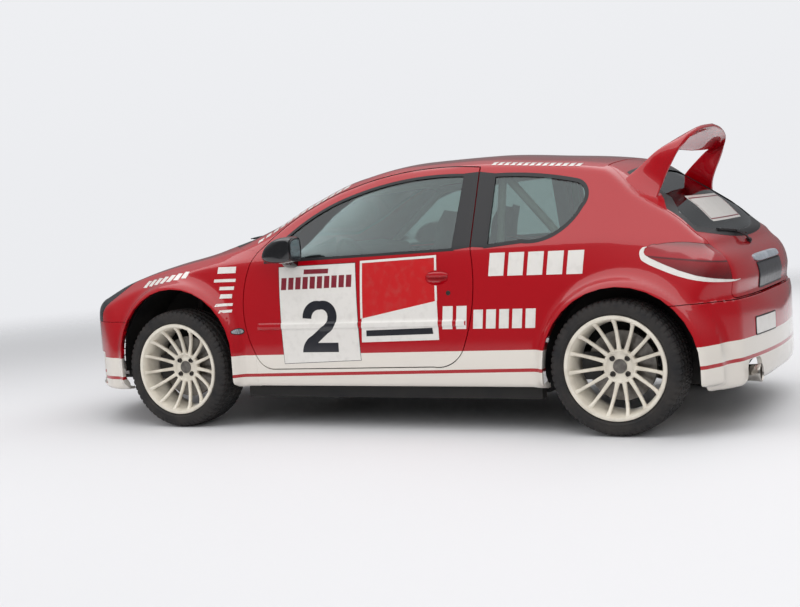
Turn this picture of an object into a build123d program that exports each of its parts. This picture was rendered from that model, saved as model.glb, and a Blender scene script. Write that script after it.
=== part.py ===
"""Rally hatchback in millimetres: front towards -Y, left side +X, up +Z, origin on the ground."""
import os
from collections import namedtuple
from math import cos, pi, sin

from build123d import *

os.makedirs("parts", exist_ok=True)

# Overall lengths, along Y
BODY_LENGTH = 4005.0
WHEELBASE = 2468.0
FRONT_OVERHANG = 945.0
REAR_OVERHANG = BODY_LENGTH - FRONT_OVERHANG - WHEELBASE
FRONT_AXLE_Y = FRONT_OVERHANG - BODY_LENGTH / 2
REAR_AXLE_Y = FRONT_AXLE_Y + WHEELBASE

# Wheels and tyres
TYRE_RADIUS = 320.0
TYRE_WIDTH = 225.0
WHEEL_X = 762.5
RIM_SEAT_RADIUS = 228.5
RIM_FLANGE_RADIUS = 248.0
RIM_WIDTH = 208.0
RIM_WALL = 8.0
SPOKE_COUNT = 15
SPOKE_HUB_WIDTH = 20.0
SPOKE_RIM_WIDTH = 14.0
SPOKE_DEPTH = 22.0
HUB_FACE_X = 790.0
HUB_PAD_RADIUS = 74.0
HUB_PAD_DEPTH = 26.0
LUG_COUNT = 4
LUG_CIRCLE_RADIUS = 54.0
LUG_HOLE_RADIUS = 9.0
CENTRE_BORE_RADIUS = 33.0

# Brakes and hubs
DISC_RADIUS = 165.0
DISC_INNER_X = 721.0
DISC_OUTER_X = 749.0
HAT_RADIUS = 80.0
HAT_WALL = 9.0
STUB_RADIUS = 25.0
STUB_END_X = 690.0
BEARING_RADIUS = 52.0
BEARING_INNER_X = 684.0
BEARING_OUTER_X = 730.0
CALIPER_WALL = 8.0
CALIPER_REACH = 190.0
RUNNING_GAP = 5.0

# Suspension: the kingpin runs from the ball joint to the strut's top
BALL_JOINT_X = 690.0
BALL_JOINT_Z = 215.0
STRUT_FOOT_X = 622.0
STRUT_FOOT_Z = 440.0
STRUT_TOP_X = 560.0
STRUT_TOP_Z = 800.0
STRUT_RADIUS = 22.0
PIN_RADIUS = 12.0
PIN_HALF_LENGTH = 14.0
TOWER_RADIUS = 65.0
TOWER_BASE_Z = 770.0
TOWER_TOP_Z = 835.0
RAIL_X = 300.0
RAIL_WIDTH = 50.0
RAIL_BASE_Z = 195.0
WISHBONE_Z = 203.0
WISHBONE_DEPTH = 16.0
BEAM_RADIUS = 38.0
TRAILING_ARM_X = 565.0

# Wheel arches, measured from each axle
FRONT_ARCH_RADIUS = 366.0
FRONT_ARCH_Z = 390.0
FRONT_ARCH_AFT = 6.0
REAR_ARCH_RADIUS = 376.0
REAR_ARCH_Z = 322.0
REAR_ARCH_AFT = 26.0
FLARE_X = 885.0
FLARE_ROOT_X = 790.0
FLARE_BAND = 26.0
FLARE_TAPER = 26.0
FLARE_BOTTOM_Z = 232.0
POCKET_RADIUS = 406.0
POCKET_OUTER_X = 806.0
FRONT_POCKET_X = 476.0
REAR_POCKET_X = 606.0
LINER_WALL = 6.0

# Body walls and panel gaps
LOW_WALL = 58.0
BELT_WALL = 54.0
RAIL_WALL = 38.0
TOP_WALL = 18.0
END_WALL = 42.0
GLASS_INSET = 10.0
GLASS_WALL = 5.0
SEAM = 0.6
FIT = 0.3
RUNNING_FIT = 0.1
SHUT_GAP = 6.0
PILLAR_GAP = 16.0
BONNET_FRONT_GAP = 14.0

# Floor, firewall and boot
FLOOR_Z = 165.0
FLOOR_WALL = 16.0
FLOOR_HALF_WIDTH = 760.0
SILL_Z = 222.0
TUNNEL_HALF_WIDTH = 135.0
TUNNEL_TOP_Z = 340.0
FIREWALL_AFT = 420.0
FIREWALL_TOP_Z = 860.0
FIREWALL_HALF_WIDTH = 728.0
KICK_UP_AFT = -440.0
BOOT_FLOOR_Z = 430.0
BOOT_END_AFT = 470.0
FRONT_WALL_X = 463.0
REAR_WALL_X = 594.0
INNER_WALL = 12.0

# Lids, bumpers and lamps
BONNET_REAR_AFT = 150.0
COWL_HALF_WIDTH = 640.0
ROOF_FRONT_AFT = 1000.0
ROOF_HALF_WIDTH = 500.0
PILLAR_AFT = 1742.0
TAILGATE_HINGE_AFT = -90.0
FRONT_BUMPER_Z = 579.0
REAR_BUMPER_Z = 604.0
TAILGATE_BOTTOM_Z = 612.0
TAILGATE_FLANGE = 14.0

# Cabin
TUBE_RADIUS = 20.0
SEAT_X = 370.0
SEAT_WIDTH = 400.0
SEAT_SIDE_WIDTH = 45.0
STEERING_RADIUS = 165.0
STEERING_TILT = 22.0
COLUMN_RADIUS = 22.0
COLUMN_LENGTH = 250.0
DASH_HALF_WIDTH = 630.0

# Engine and exhaust
ENGINE_HALF_WIDTH = 340.0
ENGINE_BASE_Z = 240.0
ENGINE_TOP_Z = 700.0
ENGINE_FRONT_AFT = -180.0
ENGINE_REAR_AFT = 170.0
PIPE_RADIUS = 30.0
PIPE_Z = 235.0
TAIL_PIPE_X = 500.0
TAIL_PIPE_Z = 250.0
TAIL_PIPE_RADIUS = 32.0


def front(aft):
    """Y of what lies aft of the front axle."""
    return FRONT_AXLE_Y + aft


def rear(aft):
    """Y of what lies aft of the rear axle."""
    return REAR_AXLE_Y + aft


def save(name, piece):
    piece.label = name
    export_step(piece, f"parts/{name}.step")


def mirrored(piece):
    with BuildPart() as other:
        mirror(piece, about=Plane.YZ)
    return other.part


def pair(piece):
    """A left piece and its mirror image, as two solids of one node."""
    with BuildPart() as both:
        add(piece)
        mirror(piece, about=Plane.YZ)
    return both.part


# The outer form: sections across the car, from nose to tail
Station = namedtuple(
    "Station", "y x_sill z_sill x_side z_side x_belt z_belt x_rail z_rail x_roof z_roof z_top")
STATIONS = [
    Station(front(-1100), 840, 198, 850, 400, 790, 520, 700, 548, 560, 560, 572),
    Station(front(-675), 840, 198, 850, 420, 790, 600, 690, 665, 560, 690, 712),
    Station(front(-395), 838, 200, 850, 450, 795, 710, 700, 782, 560, 808, 832),
    Station(front(-145), 836, 205, 845, 480, 795, 785, 702, 848, 560, 872, 893),
    Station(front(105), 835, 215, 838, 500, 795, 843, 706, 895, 560, 922, 942),
    Station(front(245), 835, SILL_Z, 836, 520, 793, 865, 712, 917, 560, 960, 988),
    Station(front(505), 835, SILL_Z, 835, 540, 790, 882, 705, 980, 640, 1022, 1108),
    Station(front(755), 835, SILL_Z, 833, 560, 788, 885, 650, 1122, 585, 1157, 1218),
    Station(front(1005), 835, SILL_Z, 832, 560, 790, 887, 612, 1228, 535, 1262, 1308),
    Station(front(1305), 835, SILL_Z, 832, 560, 792, 890, 600, 1292, 518, 1318, 1350),
    Station(front(1655), 835, SILL_Z, 832, 560, 790, 895, 598, 1304, 512, 1326, 1355),
    Station(rear(-462), 836, SILL_Z, 834, 560, 785, 903, 590, 1284, 502, 1304, 1330),
    Station(rear(-112), 838, SILL_Z, 836, 560, 770, 908, 577, 1240, 492, 1266, 1292),
    Station(rear(58), 840, 218, 838, 560, 758, 900, 620, 1108, 520, 1152, 1212),
    Station(rear(258), 840, 206, 836, 560, 742, 872, 660, 985, 560, 1022, 1066),
    Station(rear(380), 838, 198, 833, 540, 735, 830, 690, 888, 590, 910, 938),
    Station(rear(520), 835, 198, 828, 500, 735, 770, 695, 815, 590, 832, 850),
    Station(rear(700), 832, 198, 825, 480, 735, 740, 700, 780, 590, 800, 815),
]
Walls = namedtuple("Walls", "low belt rail top end")
SKIN = Walls(0, 0, 0, 0, 0)
LINING = Walls(LOW_WALL, BELT_WALL, RAIL_WALL, TOP_WALL, END_WALL)


def section(station, walls):
    """One closed section: arcs for the sides and the roof, straight shoulders between them."""
    s = station
    points = [
        (s.x_sill - walls.low, s.z_sill - walls.low / 3),
        (s.x_side - walls.low, s.z_side),
        (s.x_belt - walls.belt, s.z_belt),
        (s.x_rail - walls.rail, s.z_rail - walls.rail / 3),
        (s.x_roof - walls.rail / 2, s.z_roof - walls.top),
    ]
    crown = (0, s.z_top - walls.top)
    other = [(-x, z) for x, z in points]
    with BuildSketch(Plane((0, s.y, 0), x_dir=(1, 0, 0), z_dir=(0, -1, 0))) as outline:
        with BuildLine():
            ThreePointArc(points[0], points[1], points[2])
            Line(points[2], points[3])
            Line(points[3], points[4])
            ThreePointArc(points[4], crown, other[4])
            Line(other[4], other[3])
            Line(other[3], other[2])
            ThreePointArc(other[2], other[1], other[0])
            Line(other[0], points[0])
        make_face()
    return outline.sketch.faces()[0]


def plan_outline(walls):
    """The body seen from above: bowed nose and tail, with rounded corners."""
    nose = front(-FRONT_OVERHANG) + walls.end
    tail = rear(REAR_OVERHANG) - walls.end
    front_corner = [(610, 240), (775, 385), (900 + walls.end, 700)]
    rear_corner = [(900 + walls.end, 420), (755, 165), (610, 62)]
    ahead = [(x - walls.end, nose + y) for x, y in front_corner]
    behind = [(x - walls.end, tail - y) for x, y in rear_corner]
    with BuildSketch(Plane.XY) as outline:
        with BuildLine():
            ThreePointArc(*ahead)
            Line(ahead[2], behind[0])
            ThreePointArc(*behind)
            Line(behind[2], (0, tail - 1))
            Line((0, tail - 1), (0, nose + 1))
            Line((0, nose + 1), ahead[0])
        make_face()
        with BuildLine():
            ThreePointArc(ahead[0], (0, nose), (-ahead[0][0], ahead[0][1]))
            Line((-ahead[0][0], ahead[0][1]), ahead[0])
        make_face()
        with BuildLine():
            ThreePointArc(behind[2], (0, tail), (-behind[2][0], behind[2][1]))
            Line((-behind[2][0], behind[2][1]), behind[2])
        make_face()
        mirror(about=Plane.YZ)
    return outline.sketch


def side_outline(walls):
    """The nose and tail seen from the side; the sections alone shape what lies between."""
    nose = front(-FRONT_OVERHANG) + walls.end
    tail = rear(REAR_OVERHANG) - walls.end
    drop = walls.top
    with BuildSketch(Plane.YZ) as outline:
        with BuildLine():
            Line((nose, 0), (nose, 480))
            ThreePointArc((nose, 480), (nose + 22, 585 - drop), (nose + 110, 670 - drop))
            Line((nose + 110, 670 - drop), (nose + 110, 2000))
            Line((nose + 110, 2000), (tail - 150, 2000))
            Line((tail - 150, 2000), (tail - 150, 850 - drop))
            ThreePointArc((tail - 150, 850 - drop), (tail - 70, 775 - drop), (tail - 42, 680))
            Line((tail - 42, 680), (tail - 38, 612))
            ThreePointArc((tail - 38, 612), (tail - 12, 560), (tail, 480))
            Line((tail, 480), (tail, 280))
            Line((tail, 280), (tail - 55, 0))
            Line((tail - 55, 0), (nose, 0))
        make_face()
    return outline.sketch


def body_form(walls):
    """The closed form of the body, inset by its walls."""
    with BuildPart() as form:
        loft([section(station, walls) for station in STATIONS], ruled=True)
        extrude(plan_outline(walls), amount=2000, mode=Mode.INTERSECT)
        extrude(side_outline(walls), amount=1200, both=True, mode=Mode.INTERSECT)
    return form.part


outer_form = body_form(SKIN)
inner_form = body_form(LINING)
with BuildPart() as body_shell:
    add(outer_form)
    add(inner_form, mode=Mode.SUBTRACT)
glass_form = body_form(Walls(*[GLASS_INSET] * 5))
with BuildPart() as glass_sheet:
    add(glass_form)
    add(body_form(Walls(*[GLASS_INSET + GLASS_WALL] * 5)), mode=Mode.SUBTRACT)


# Outlines of openings and panels. Side views are drawn on YZ, plans on XY, front views on XZ.
REACH = 1100.0


def grown(outline, gap):
    """An outline moved out by a gap, or in where the gap is negative."""
    if gap == 0:
        return outline
    with BuildSketch(Plane.XY) as larger:
        add(outline)
        offset(amount=gap, kind=Kind.ARC)
    return larger.sketch


def on_side(outline, start=0.0):
    """An outline drawn flat as (y, z), stood up in side view, at a distance left of the middle."""
    return Plane.YZ.offset(start) * outline


def on_front(outline, start):
    """An outline drawn flat as (x, z), stood up across the car to face aft from a start line."""
    return Plane((0, start, 0), x_dir=(-1, 0, 0), z_dir=(0, 1, 0)) * outline


def polygon(points):
    with BuildSketch(Plane.XY) as outline:
        with BuildLine():
            Polyline(*points, close=True)
        make_face()
    return outline.sketch


def door_outline():
    with BuildSketch(Plane.XY) as outline:
        with BuildLine():
            ThreePointArc((front(500), 923), (front(437), 700), (front(505), 390))
            ThreePointArc((front(505), 390), (front(546), 338), (front(615), 318))
            Line((front(615), 318), (front(1535), 328))
            ThreePointArc((front(1535), 328), (front(1646), 352), (front(1705), 432))
            ThreePointArc((front(1705), 432), (front(1757), 660), (front(1745), 885))
            Line((front(1745), 885), (front(PILLAR_AFT), 905))
            Line((front(PILLAR_AFT), 905), (front(PILLAR_AFT), 1290))
            ThreePointArc((front(PILLAR_AFT), 1290), (front(1400), 1298), (front(1020), 1230))
            ThreePointArc((front(1020), 1230), (front(755), 1124), (front(500), 923))
        make_face()
    return outline.sketch


def door_window():
    with BuildSketch(Plane.XY) as outline:
        with BuildLine():
            Line((front(560), 870), (front(1656), 893))
            Line((front(1656), 893), (front(1676), 1262))
            ThreePointArc((front(1676), 1262), (front(1305), 1252), (front(971), 1175))
            ThreePointArc((front(971), 1175), (front(754), 1068), (front(560), 900))
            Line((front(560), 900), (front(560), 870))
        make_face()
    return outline.sketch


def quarter_window():
    with BuildSketch(Plane.XY) as outline:
        with BuildLine():
            Line((rear(-650), 898), (rear(-460), 915))
            ThreePointArc((rear(-460), 915), (rear(-278), 952), (rear(-174), 1068))
            ThreePointArc((rear(-174), 1068), (rear(-160), 1152), (rear(-216), 1202))
            ThreePointArc((rear(-216), 1202), (rear(-420), 1240), (rear(-650), 1254))
            Line((rear(-650), 1254), (rear(-650), 898))
        make_face()
    return outline.sketch


def arch(centre_y, centre_z, radius):
    """A half circle that runs straight down to the road."""
    ahead, behind = centre_y - radius, centre_y + radius
    with BuildSketch(Plane.XY) as outline:
        with BuildLine():
            Line((ahead, 0), (behind, 0))
            Line((behind, 0), (behind, centre_z))
            ThreePointArc((behind, centre_z), (centre_y, centre_z + radius), (ahead, centre_z))
            Line((ahead, centre_z), (ahead, 0))
        make_face()
    return outline.sketch


FRONT_ARCH = (front(FRONT_ARCH_AFT), FRONT_ARCH_Z)
REAR_ARCH = (rear(REAR_ARCH_AFT), REAR_ARCH_Z)


def windscreen_outline():
    """Seen from the front, with a bowed top and bottom edge."""
    with BuildSketch(Plane.XY) as outline:
        with BuildLine():
            ThreePointArc((-634, 958), (0, 975), (634, 958))
            Line((634, 958), (508, 1262))
            ThreePointArc((508, 1262), (0, 1310), (-508, 1262))
            Line((-508, 1262), (-634, 958))
        make_face()
    return outline.sketch


def bonnet_outline():
    """Seen from above, from the cowl to the nose."""
    nose = front(-FRONT_OVERHANG)
    with BuildSketch(Plane.XY) as outline:
        with BuildLine():
            Line((0, front(BONNET_REAR_AFT)), (636, front(BONNET_REAR_AFT)))
            Line((636, front(BONNET_REAR_AFT)), (626, front(-160)))
            ThreePointArc((626, front(-160)), (590, front(-430)), (500, front(-650)))
            Line((500, front(-650)), (425, nose + 152))
            ThreePointArc((425, nose + 152), (240, nose + 86), (0, nose + 58))
            Line((0, nose + 58), (0, front(BONNET_REAR_AFT)))
        make_face()
        mirror(about=Plane.YZ)
    return outline.sketch


def headlamp_outline():
    """The left lamp's reach seen from above; the bonnet's edge cuts its inner side."""
    with BuildSketch(Plane.XY) as outline:
        with BuildLine():
            ThreePointArc((668, front(-330)), (738, front(-420)), (780, front(-560)))
            Line((780, front(-560)), (850, front(-700)))
            Line((850, front(-700)), (850, front(-900)))
            Line((850, front(-900)), (400, front(-900)))
            Line((400, front(-900)), (400, front(-650)))
            Line((400, front(-650)), (668, front(-330)))
        make_face()
    return outline.sketch


def tailgate_outline():
    """Seen from behind: narrow between the lamps, widest beside the window's foot."""
    half = [(0, TAILGATE_BOTTOM_Z), (500, TAILGATE_BOTTOM_Z), (500, 715), (545, 800), (655, 862),
            (648, 925), (600, 1098), (ROOF_HALF_WIDTH, 1262), (ROOF_HALF_WIDTH, 1500), (0, 1500)]
    with BuildSketch(Plane.XY) as outline:
        with BuildLine():
            Polyline(*half, close=True)
        make_face()
        mirror(about=Plane.YZ)
    return outline.sketch


def rear_window_outline():
    with BuildSketch(Plane.XY) as outline:
        with BuildLine():
            ThreePointArc((-580, 925), (0, 872), (580, 925))
            Line((580, 925), (460, 1216))
            ThreePointArc((460, 1216), (0, 1250), (-460, 1216))
            Line((-460, 1216), (-580, 925))
        make_face()
    return outline.sketch


def tail_lamp_outline():
    with BuildSketch(Plane.XY) as outline:
        with BuildLine():
            ThreePointArc((rear(130), 845), (rear(300), 881), (rear(458), 854))
            ThreePointArc((rear(458), 854), (rear(516), 800), (rear(538), 706))
            ThreePointArc((rear(538), 706), (rear(350), 742), (rear(202), 791))
            ThreePointArc((rear(202), 791), (rear(150), 816), (rear(130), 845))
        make_face()
    return outline.sketch


fender_region = polygon([
    (front(-640), FRONT_BUMPER_Z + SEAM), (front(-250), FRONT_BUMPER_Z + SEAM), (front(-250), 100),
    (front(500), 100), (front(500), 925), (front(470), 937), (front(245), 957),
    (front(245), 1200), (front(-640), 1200)])
front_bumper_region = polygon([
    (front(-1000), 100), (front(-250), 100), (front(-250), FRONT_BUMPER_Z),
    (front(-640) - SEAM, FRONT_BUMPER_Z), (front(-640) - SEAM, 720), (front(-1000), 720)])
side_region = polygon([
    (front(500) + SEAM, 100), (front(500) + SEAM, 925 + SEAM), (front(470), 937 + SEAM),
    (front(245) + SEAM, 957 + SEAM), (front(245) + SEAM, 2000), (rear(800), 2000),
    (rear(800), REAR_BUMPER_Z + SEAM), (rear(200), REAR_BUMPER_Z + SEAM), (rear(200), 100)])
rear_bumper_region = polygon([
    (rear(200), 100), (rear(800), 100), (rear(800), REAR_BUMPER_Z), (rear(200), REAR_BUMPER_Z)])
roof_region = polygon([
    (-ROOF_HALF_WIDTH, front(ROOF_FRONT_AFT)), (ROOF_HALF_WIDTH, front(ROOF_FRONT_AFT)),
    (ROOF_HALF_WIDTH, rear(TAILGATE_HINGE_AFT) - SHUT_GAP),
    (-ROOF_HALF_WIDTH, rear(TAILGATE_HINGE_AFT) - SHUT_GAP)])
cowl_region = polygon([
    (-COWL_HALF_WIDTH, front(BONNET_REAR_AFT) + SHUT_GAP),
    (COWL_HALF_WIDTH, front(BONNET_REAR_AFT) + SHUT_GAP),
    (COWL_HALF_WIDTH, front(300)), (-COWL_HALF_WIDTH, front(300))])
pillar_gap = polygon([
    (front(1500), 900), (front(PILLAR_AFT) + PILLAR_GAP, 900), (front(PILLAR_AFT) + PILLAR_GAP, 1290),
    (front(1500), 1290)])
door = door_outline()
bonnet_plan = bonnet_outline()


def flare(centre, radius):
    """The swollen lip round a wheel arch: a band that tapers from the flank to its outer edge."""
    root = on_side(arch(*centre, radius + FLARE_BAND + FLARE_TAPER), FLARE_ROOT_X)
    edge = on_side(arch(*centre, radius + FLARE_BAND), FLARE_X)
    with BuildPart() as lip:
        loft([root, edge], ruled=True)
        with Locations((FLARE_X, centre[0], FLARE_BOTTOM_Z - 250)):
            Box(400, 1200, 500, mode=Mode.SUBTRACT)
    return lip.part


def cut_arch(centre, radius, pocket_x):
    """Opens the arch and the wider pocket behind its lip."""
    extrude(on_side(arch(*centre, radius), pocket_x), amount=REACH, mode=Mode.SUBTRACT)
    extrude(on_side(arch(*centre, POCKET_RADIUS), pocket_x),
            amount=POCKET_OUTER_X - pocket_x, mode=Mode.SUBTRACT)


def above(outline, height, mode=Mode.SUBTRACT):
    """Cuts or keeps what stands over a plan outline."""
    extrude(Plane.XY.offset(height) * outline, amount=2000, mode=mode)


def block(x, y, z, mode=Mode.ADD):
    """A box between two limits on each axis."""
    with Locations((sum(x) / 2, sum(y) / 2, sum(z) / 2)):
        Box(x[1] - x[0], y[1] - y[0], z[1] - z[0], mode=mode)


def tube(start, end, radius, mode=Mode.ADD):
    """A round bar from one point to another."""
    run = Vector(*end) - Vector(*start)
    with Locations(Plane(start, z_dir=run)):
        Cylinder(radius, run.length, align=(Align.CENTER, Align.CENTER, Align.MIN), mode=mode)


def tube_run(points, radius):
    """Round bars joined end to end, with a ball at each bend."""
    for start, end in zip(points, points[1:]):
        tube(start, end, radius)
    with Locations(*points[1:-1]):
        Sphere(radius)


def turned(points):
    """A ring turned about the X axis from its (x, radius) outline."""
    with BuildPart() as ring:
        with BuildSketch(Plane.XZ):
            with BuildLine():
                Polyline(*points, close=True)
            make_face()
        revolve(axis=Axis.X)
    return ring.part


# Left half of the shell, from which the side panels come
with BuildPart() as left_shell:
    add(body_shell.part)
    with Locations((-600, 0, 700)):
        Box(1200, 2 * BODY_LENGTH, 1600, mode=Mode.SUBTRACT)

# Front wings, with the flares of their arches and the leaves that carry the door
HINGE_LEAF_X = (788.0, 808.0)
HINGE_LEAF_HEIGHTS = [(560.0, 600.0), (740.0, 780.0)]
with BuildPart() as hinge_leaves:
    for leaf_z in HINGE_LEAF_HEIGHTS:
        block(HINGE_LEAF_X, (front(415), front(460)), leaf_z)
    extrude(on_side(grown(door, FIT)), amount=REACH, mode=Mode.SUBTRACT)
with BuildPart() as fender:
    add(left_shell.part)
    add(flare(FRONT_ARCH, FRONT_ARCH_RADIUS))
    extrude(on_side(fender_region), amount=REACH, mode=Mode.INTERSECT)
    cut_arch(FRONT_ARCH, FRONT_ARCH_RADIUS, FRONT_POCKET_X)
    extrude(on_side(grown(door, SHUT_GAP)), amount=REACH, mode=Mode.SUBTRACT)
    above(grown(bonnet_plan, SHUT_GAP), 300)
    above(grown(cowl_region, SEAM), 300)
    above(grown(headlamp_outline(), SEAM), FRONT_BUMPER_Z)
    extrude(on_front(grown(windscreen_outline(), SEAM), front(100)), amount=700, mode=Mode.SUBTRACT)
    add(hinge_leaves.part)
save("front_fenders", pair(fender.part))

# Doors
with BuildPart() as door_left:
    add(left_shell.part)
    extrude(on_side(door), amount=REACH, mode=Mode.INTERSECT)
    extrude(on_side(door_window()), amount=REACH, mode=Mode.SUBTRACT)
save("door_left", door_left.part)
save("door_right", mirrored(door_left.part))

# Body sides: sill, pillars, cant rail and quarter panel
with BuildPart() as side_left:
    add(left_shell.part)
    extrude(on_front(grown(tailgate_outline(), SHUT_GAP), rear(TAILGATE_HINGE_AFT) - SHUT_GAP),
            amount=1000, mode=Mode.SUBTRACT)
    extrude(on_front(grown(windscreen_outline(), SEAM), front(100)), amount=1050, mode=Mode.SUBTRACT)
    above(grown(roof_region, SEAM), 900)
    above(grown(cowl_region, SEAM), 300)
    extrude(on_side(side_region), amount=REACH, mode=Mode.INTERSECT)
    extrude(on_side(grown(tail_lamp_outline(), SEAM), 480), amount=REACH, mode=Mode.SUBTRACT)
    extrude(on_side(quarter_window()), amount=REACH, mode=Mode.SUBTRACT)
    extrude(on_side(grown(door, SHUT_GAP)), amount=REACH, mode=Mode.SUBTRACT)
    extrude(on_side(pillar_gap), amount=REACH, mode=Mode.SUBTRACT)
    cut_arch(REAR_ARCH, REAR_ARCH_RADIUS, REAR_POCKET_X)
    block((0, 500 + SHUT_GAP), (rear(400), rear(700)), (600, 620), Mode.SUBTRACT)
with BuildPart() as rear_flare:
    add(flare(REAR_ARCH, REAR_ARCH_RADIUS))
    extrude(on_side(side_region), amount=REACH, mode=Mode.INTERSECT)
    cut_arch(REAR_ARCH, REAR_ARCH_RADIUS, REAR_POCKET_X)
    add(outer_form, mode=Mode.SUBTRACT)
with BuildPart() as body_side_left:
    add(side_left.part)
    add(rear_flare.part)
save("body_side_left", body_side_left.part)
save("body_side_right", mirrored(body_side_left.part))

# Bumpers: the front one has a mouth and a duct at each corner
MOUTH_HALF_WIDTH = 390.0
MOUTH_BOTTOM_Z = 262.0
MOUTH_TOP_Z = 432.0
DUCT_INNER_X = 515.0
DUCT_OUTER_X = 1000.0
DUCT_BOTTOM_Z = 226.0
DUCT_TOP_Z = 406.0
DUCT_REAR_AFT = -556.0
AHEAD_OF_NOSE = front(-FRONT_OVERHANG) - 50


def mouth_outline():
    with BuildSketch(Plane.XY) as outline:
        with Locations((0, (MOUTH_BOTTOM_Z + MOUTH_TOP_Z) / 2)):
            RectangleRounded(2 * MOUTH_HALF_WIDTH, MOUTH_TOP_Z - MOUTH_BOTTOM_Z, 40)
    return outline.sketch


def duct_outline():
    """The left corner duct seen from the side; it wraps from the nose round to the wing."""
    with BuildSketch(Plane.XY) as outline:
        with BuildLine():
            Polyline((AHEAD_OF_NOSE, DUCT_BOTTOM_Z), (front(DUCT_REAR_AFT), DUCT_BOTTOM_Z),
                     (front(DUCT_REAR_AFT), DUCT_TOP_Z), (AHEAD_OF_NOSE, DUCT_TOP_Z), close=True)
        make_face()
    return outline.sketch


with BuildPart() as front_half:
    add(left_shell.part)
    extrude(on_side(front_bumper_region), amount=REACH, mode=Mode.INTERSECT)
    extrude(on_side(arch(*FRONT_ARCH, FRONT_ARCH_RADIUS), 300), amount=REACH, mode=Mode.SUBTRACT)
    extrude(on_side(arch(*FRONT_ARCH, POCKET_RADIUS), 300),
            amount=POCKET_OUTER_X - 300, mode=Mode.SUBTRACT)
    above(grown(bonnet_plan, BONNET_FRONT_GAP), 300)
    above(grown(headlamp_outline(), SEAM), FRONT_BUMPER_Z)
    extrude(on_side(duct_outline(), DUCT_INNER_X), amount=REACH, mode=Mode.SUBTRACT)
    extrude(on_front(mouth_outline(), AHEAD_OF_NOSE), amount=200, mode=Mode.SUBTRACT)
with BuildPart() as front_bumper:
    add(front_half.part)
    mirror(front_half.part, about=Plane.YZ)
save("front_bumper", front_bumper.part)

with BuildPart() as rear_half:
    add(left_shell.part)
    add(flare(REAR_ARCH, REAR_ARCH_RADIUS))
    extrude(on_side(rear_bumper_region), amount=REACH, mode=Mode.INTERSECT)
    cut_arch(REAR_ARCH, REAR_ARCH_RADIUS, 300)
    block((380, 420), (rear(522), rear(545)), (590, TAILGATE_BOTTOM_Z - FIT))
with BuildPart() as rear_bumper:
    add(rear_half.part)
    mirror(rear_half.part, about=Plane.YZ)
    tube((TAIL_PIPE_X, rear(400), TAIL_PIPE_Z), (TAIL_PIPE_X, rear(700), TAIL_PIPE_Z),
         TAIL_PIPE_RADIUS + 10, Mode.SUBTRACT)
    block((TAIL_PIPE_X - 42, TAIL_PIPE_X + 42), (rear(400), rear(700)), (100, TAIL_PIPE_Z),
          Mode.SUBTRACT)
save("rear_bumper", rear_bumper.part)

# Mesh set flush in the mouth and in the ducts
GRILLE_BAR = 6.0
GRILLE_FRAME = 10.0
MOUTH_COLUMNS, MOUTH_ROWS = 12, 4
DUCT_COLUMNS, DUCT_ROWS = 4, 4


def lattice(width, height, columns, rows):
    """A framed grid of bars, centred on the origin."""
    cell_width = (width - 2 * GRILLE_FRAME - (columns - 1) * GRILLE_BAR) / columns
    cell_height = (height - 2 * GRILLE_FRAME - (rows - 1) * GRILLE_BAR) / rows
    with BuildSketch(Plane.XY) as grid:
        Rectangle(width, height)
        with GridLocations(cell_width + GRILLE_BAR, cell_height + GRILLE_BAR, columns, rows):
            Rectangle(cell_width, cell_height, mode=Mode.SUBTRACT)
    return grid.sketch


mouth_height = MOUTH_TOP_Z - MOUTH_BOTTOM_Z
with BuildPart() as mouth_mesh:
    add(glass_sheet.part)
    extrude(on_front(grown(mouth_outline(), -FIT), AHEAD_OF_NOSE), amount=200,
            mode=Mode.INTERSECT)
    mouth_grid = Location((0, MOUTH_BOTTOM_Z + mouth_height / 2)) * lattice(
        2 * MOUTH_HALF_WIDTH, mouth_height, MOUTH_COLUMNS, MOUTH_ROWS)
    extrude(on_front(mouth_grid, AHEAD_OF_NOSE), amount=200, mode=Mode.INTERSECT)
duct_height = DUCT_TOP_Z - DUCT_BOTTOM_Z
duct_length = 840.0 - DUCT_INNER_X
with BuildPart() as duct_mesh:
    add(glass_sheet.part)
    extrude(on_side(grown(duct_outline(), -FIT), DUCT_INNER_X + FIT), amount=REACH,
            mode=Mode.INTERSECT)
    duct_grid = Location((-DUCT_INNER_X - duct_length / 2, DUCT_BOTTOM_Z + duct_height / 2)) * \
        lattice(duct_length, duct_height, DUCT_COLUMNS, DUCT_ROWS)
    extrude(on_front(duct_grid, AHEAD_OF_NOSE), amount=front(DUCT_REAR_AFT) - AHEAD_OF_NOSE,
            mode=Mode.INTERSECT)
with BuildPart() as front_grille:
    add(mouth_mesh.part)
    add(duct_mesh.part)
    mirror(duct_mesh.part, about=Plane.YZ)
save("front_grille", front_grille.part)

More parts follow.
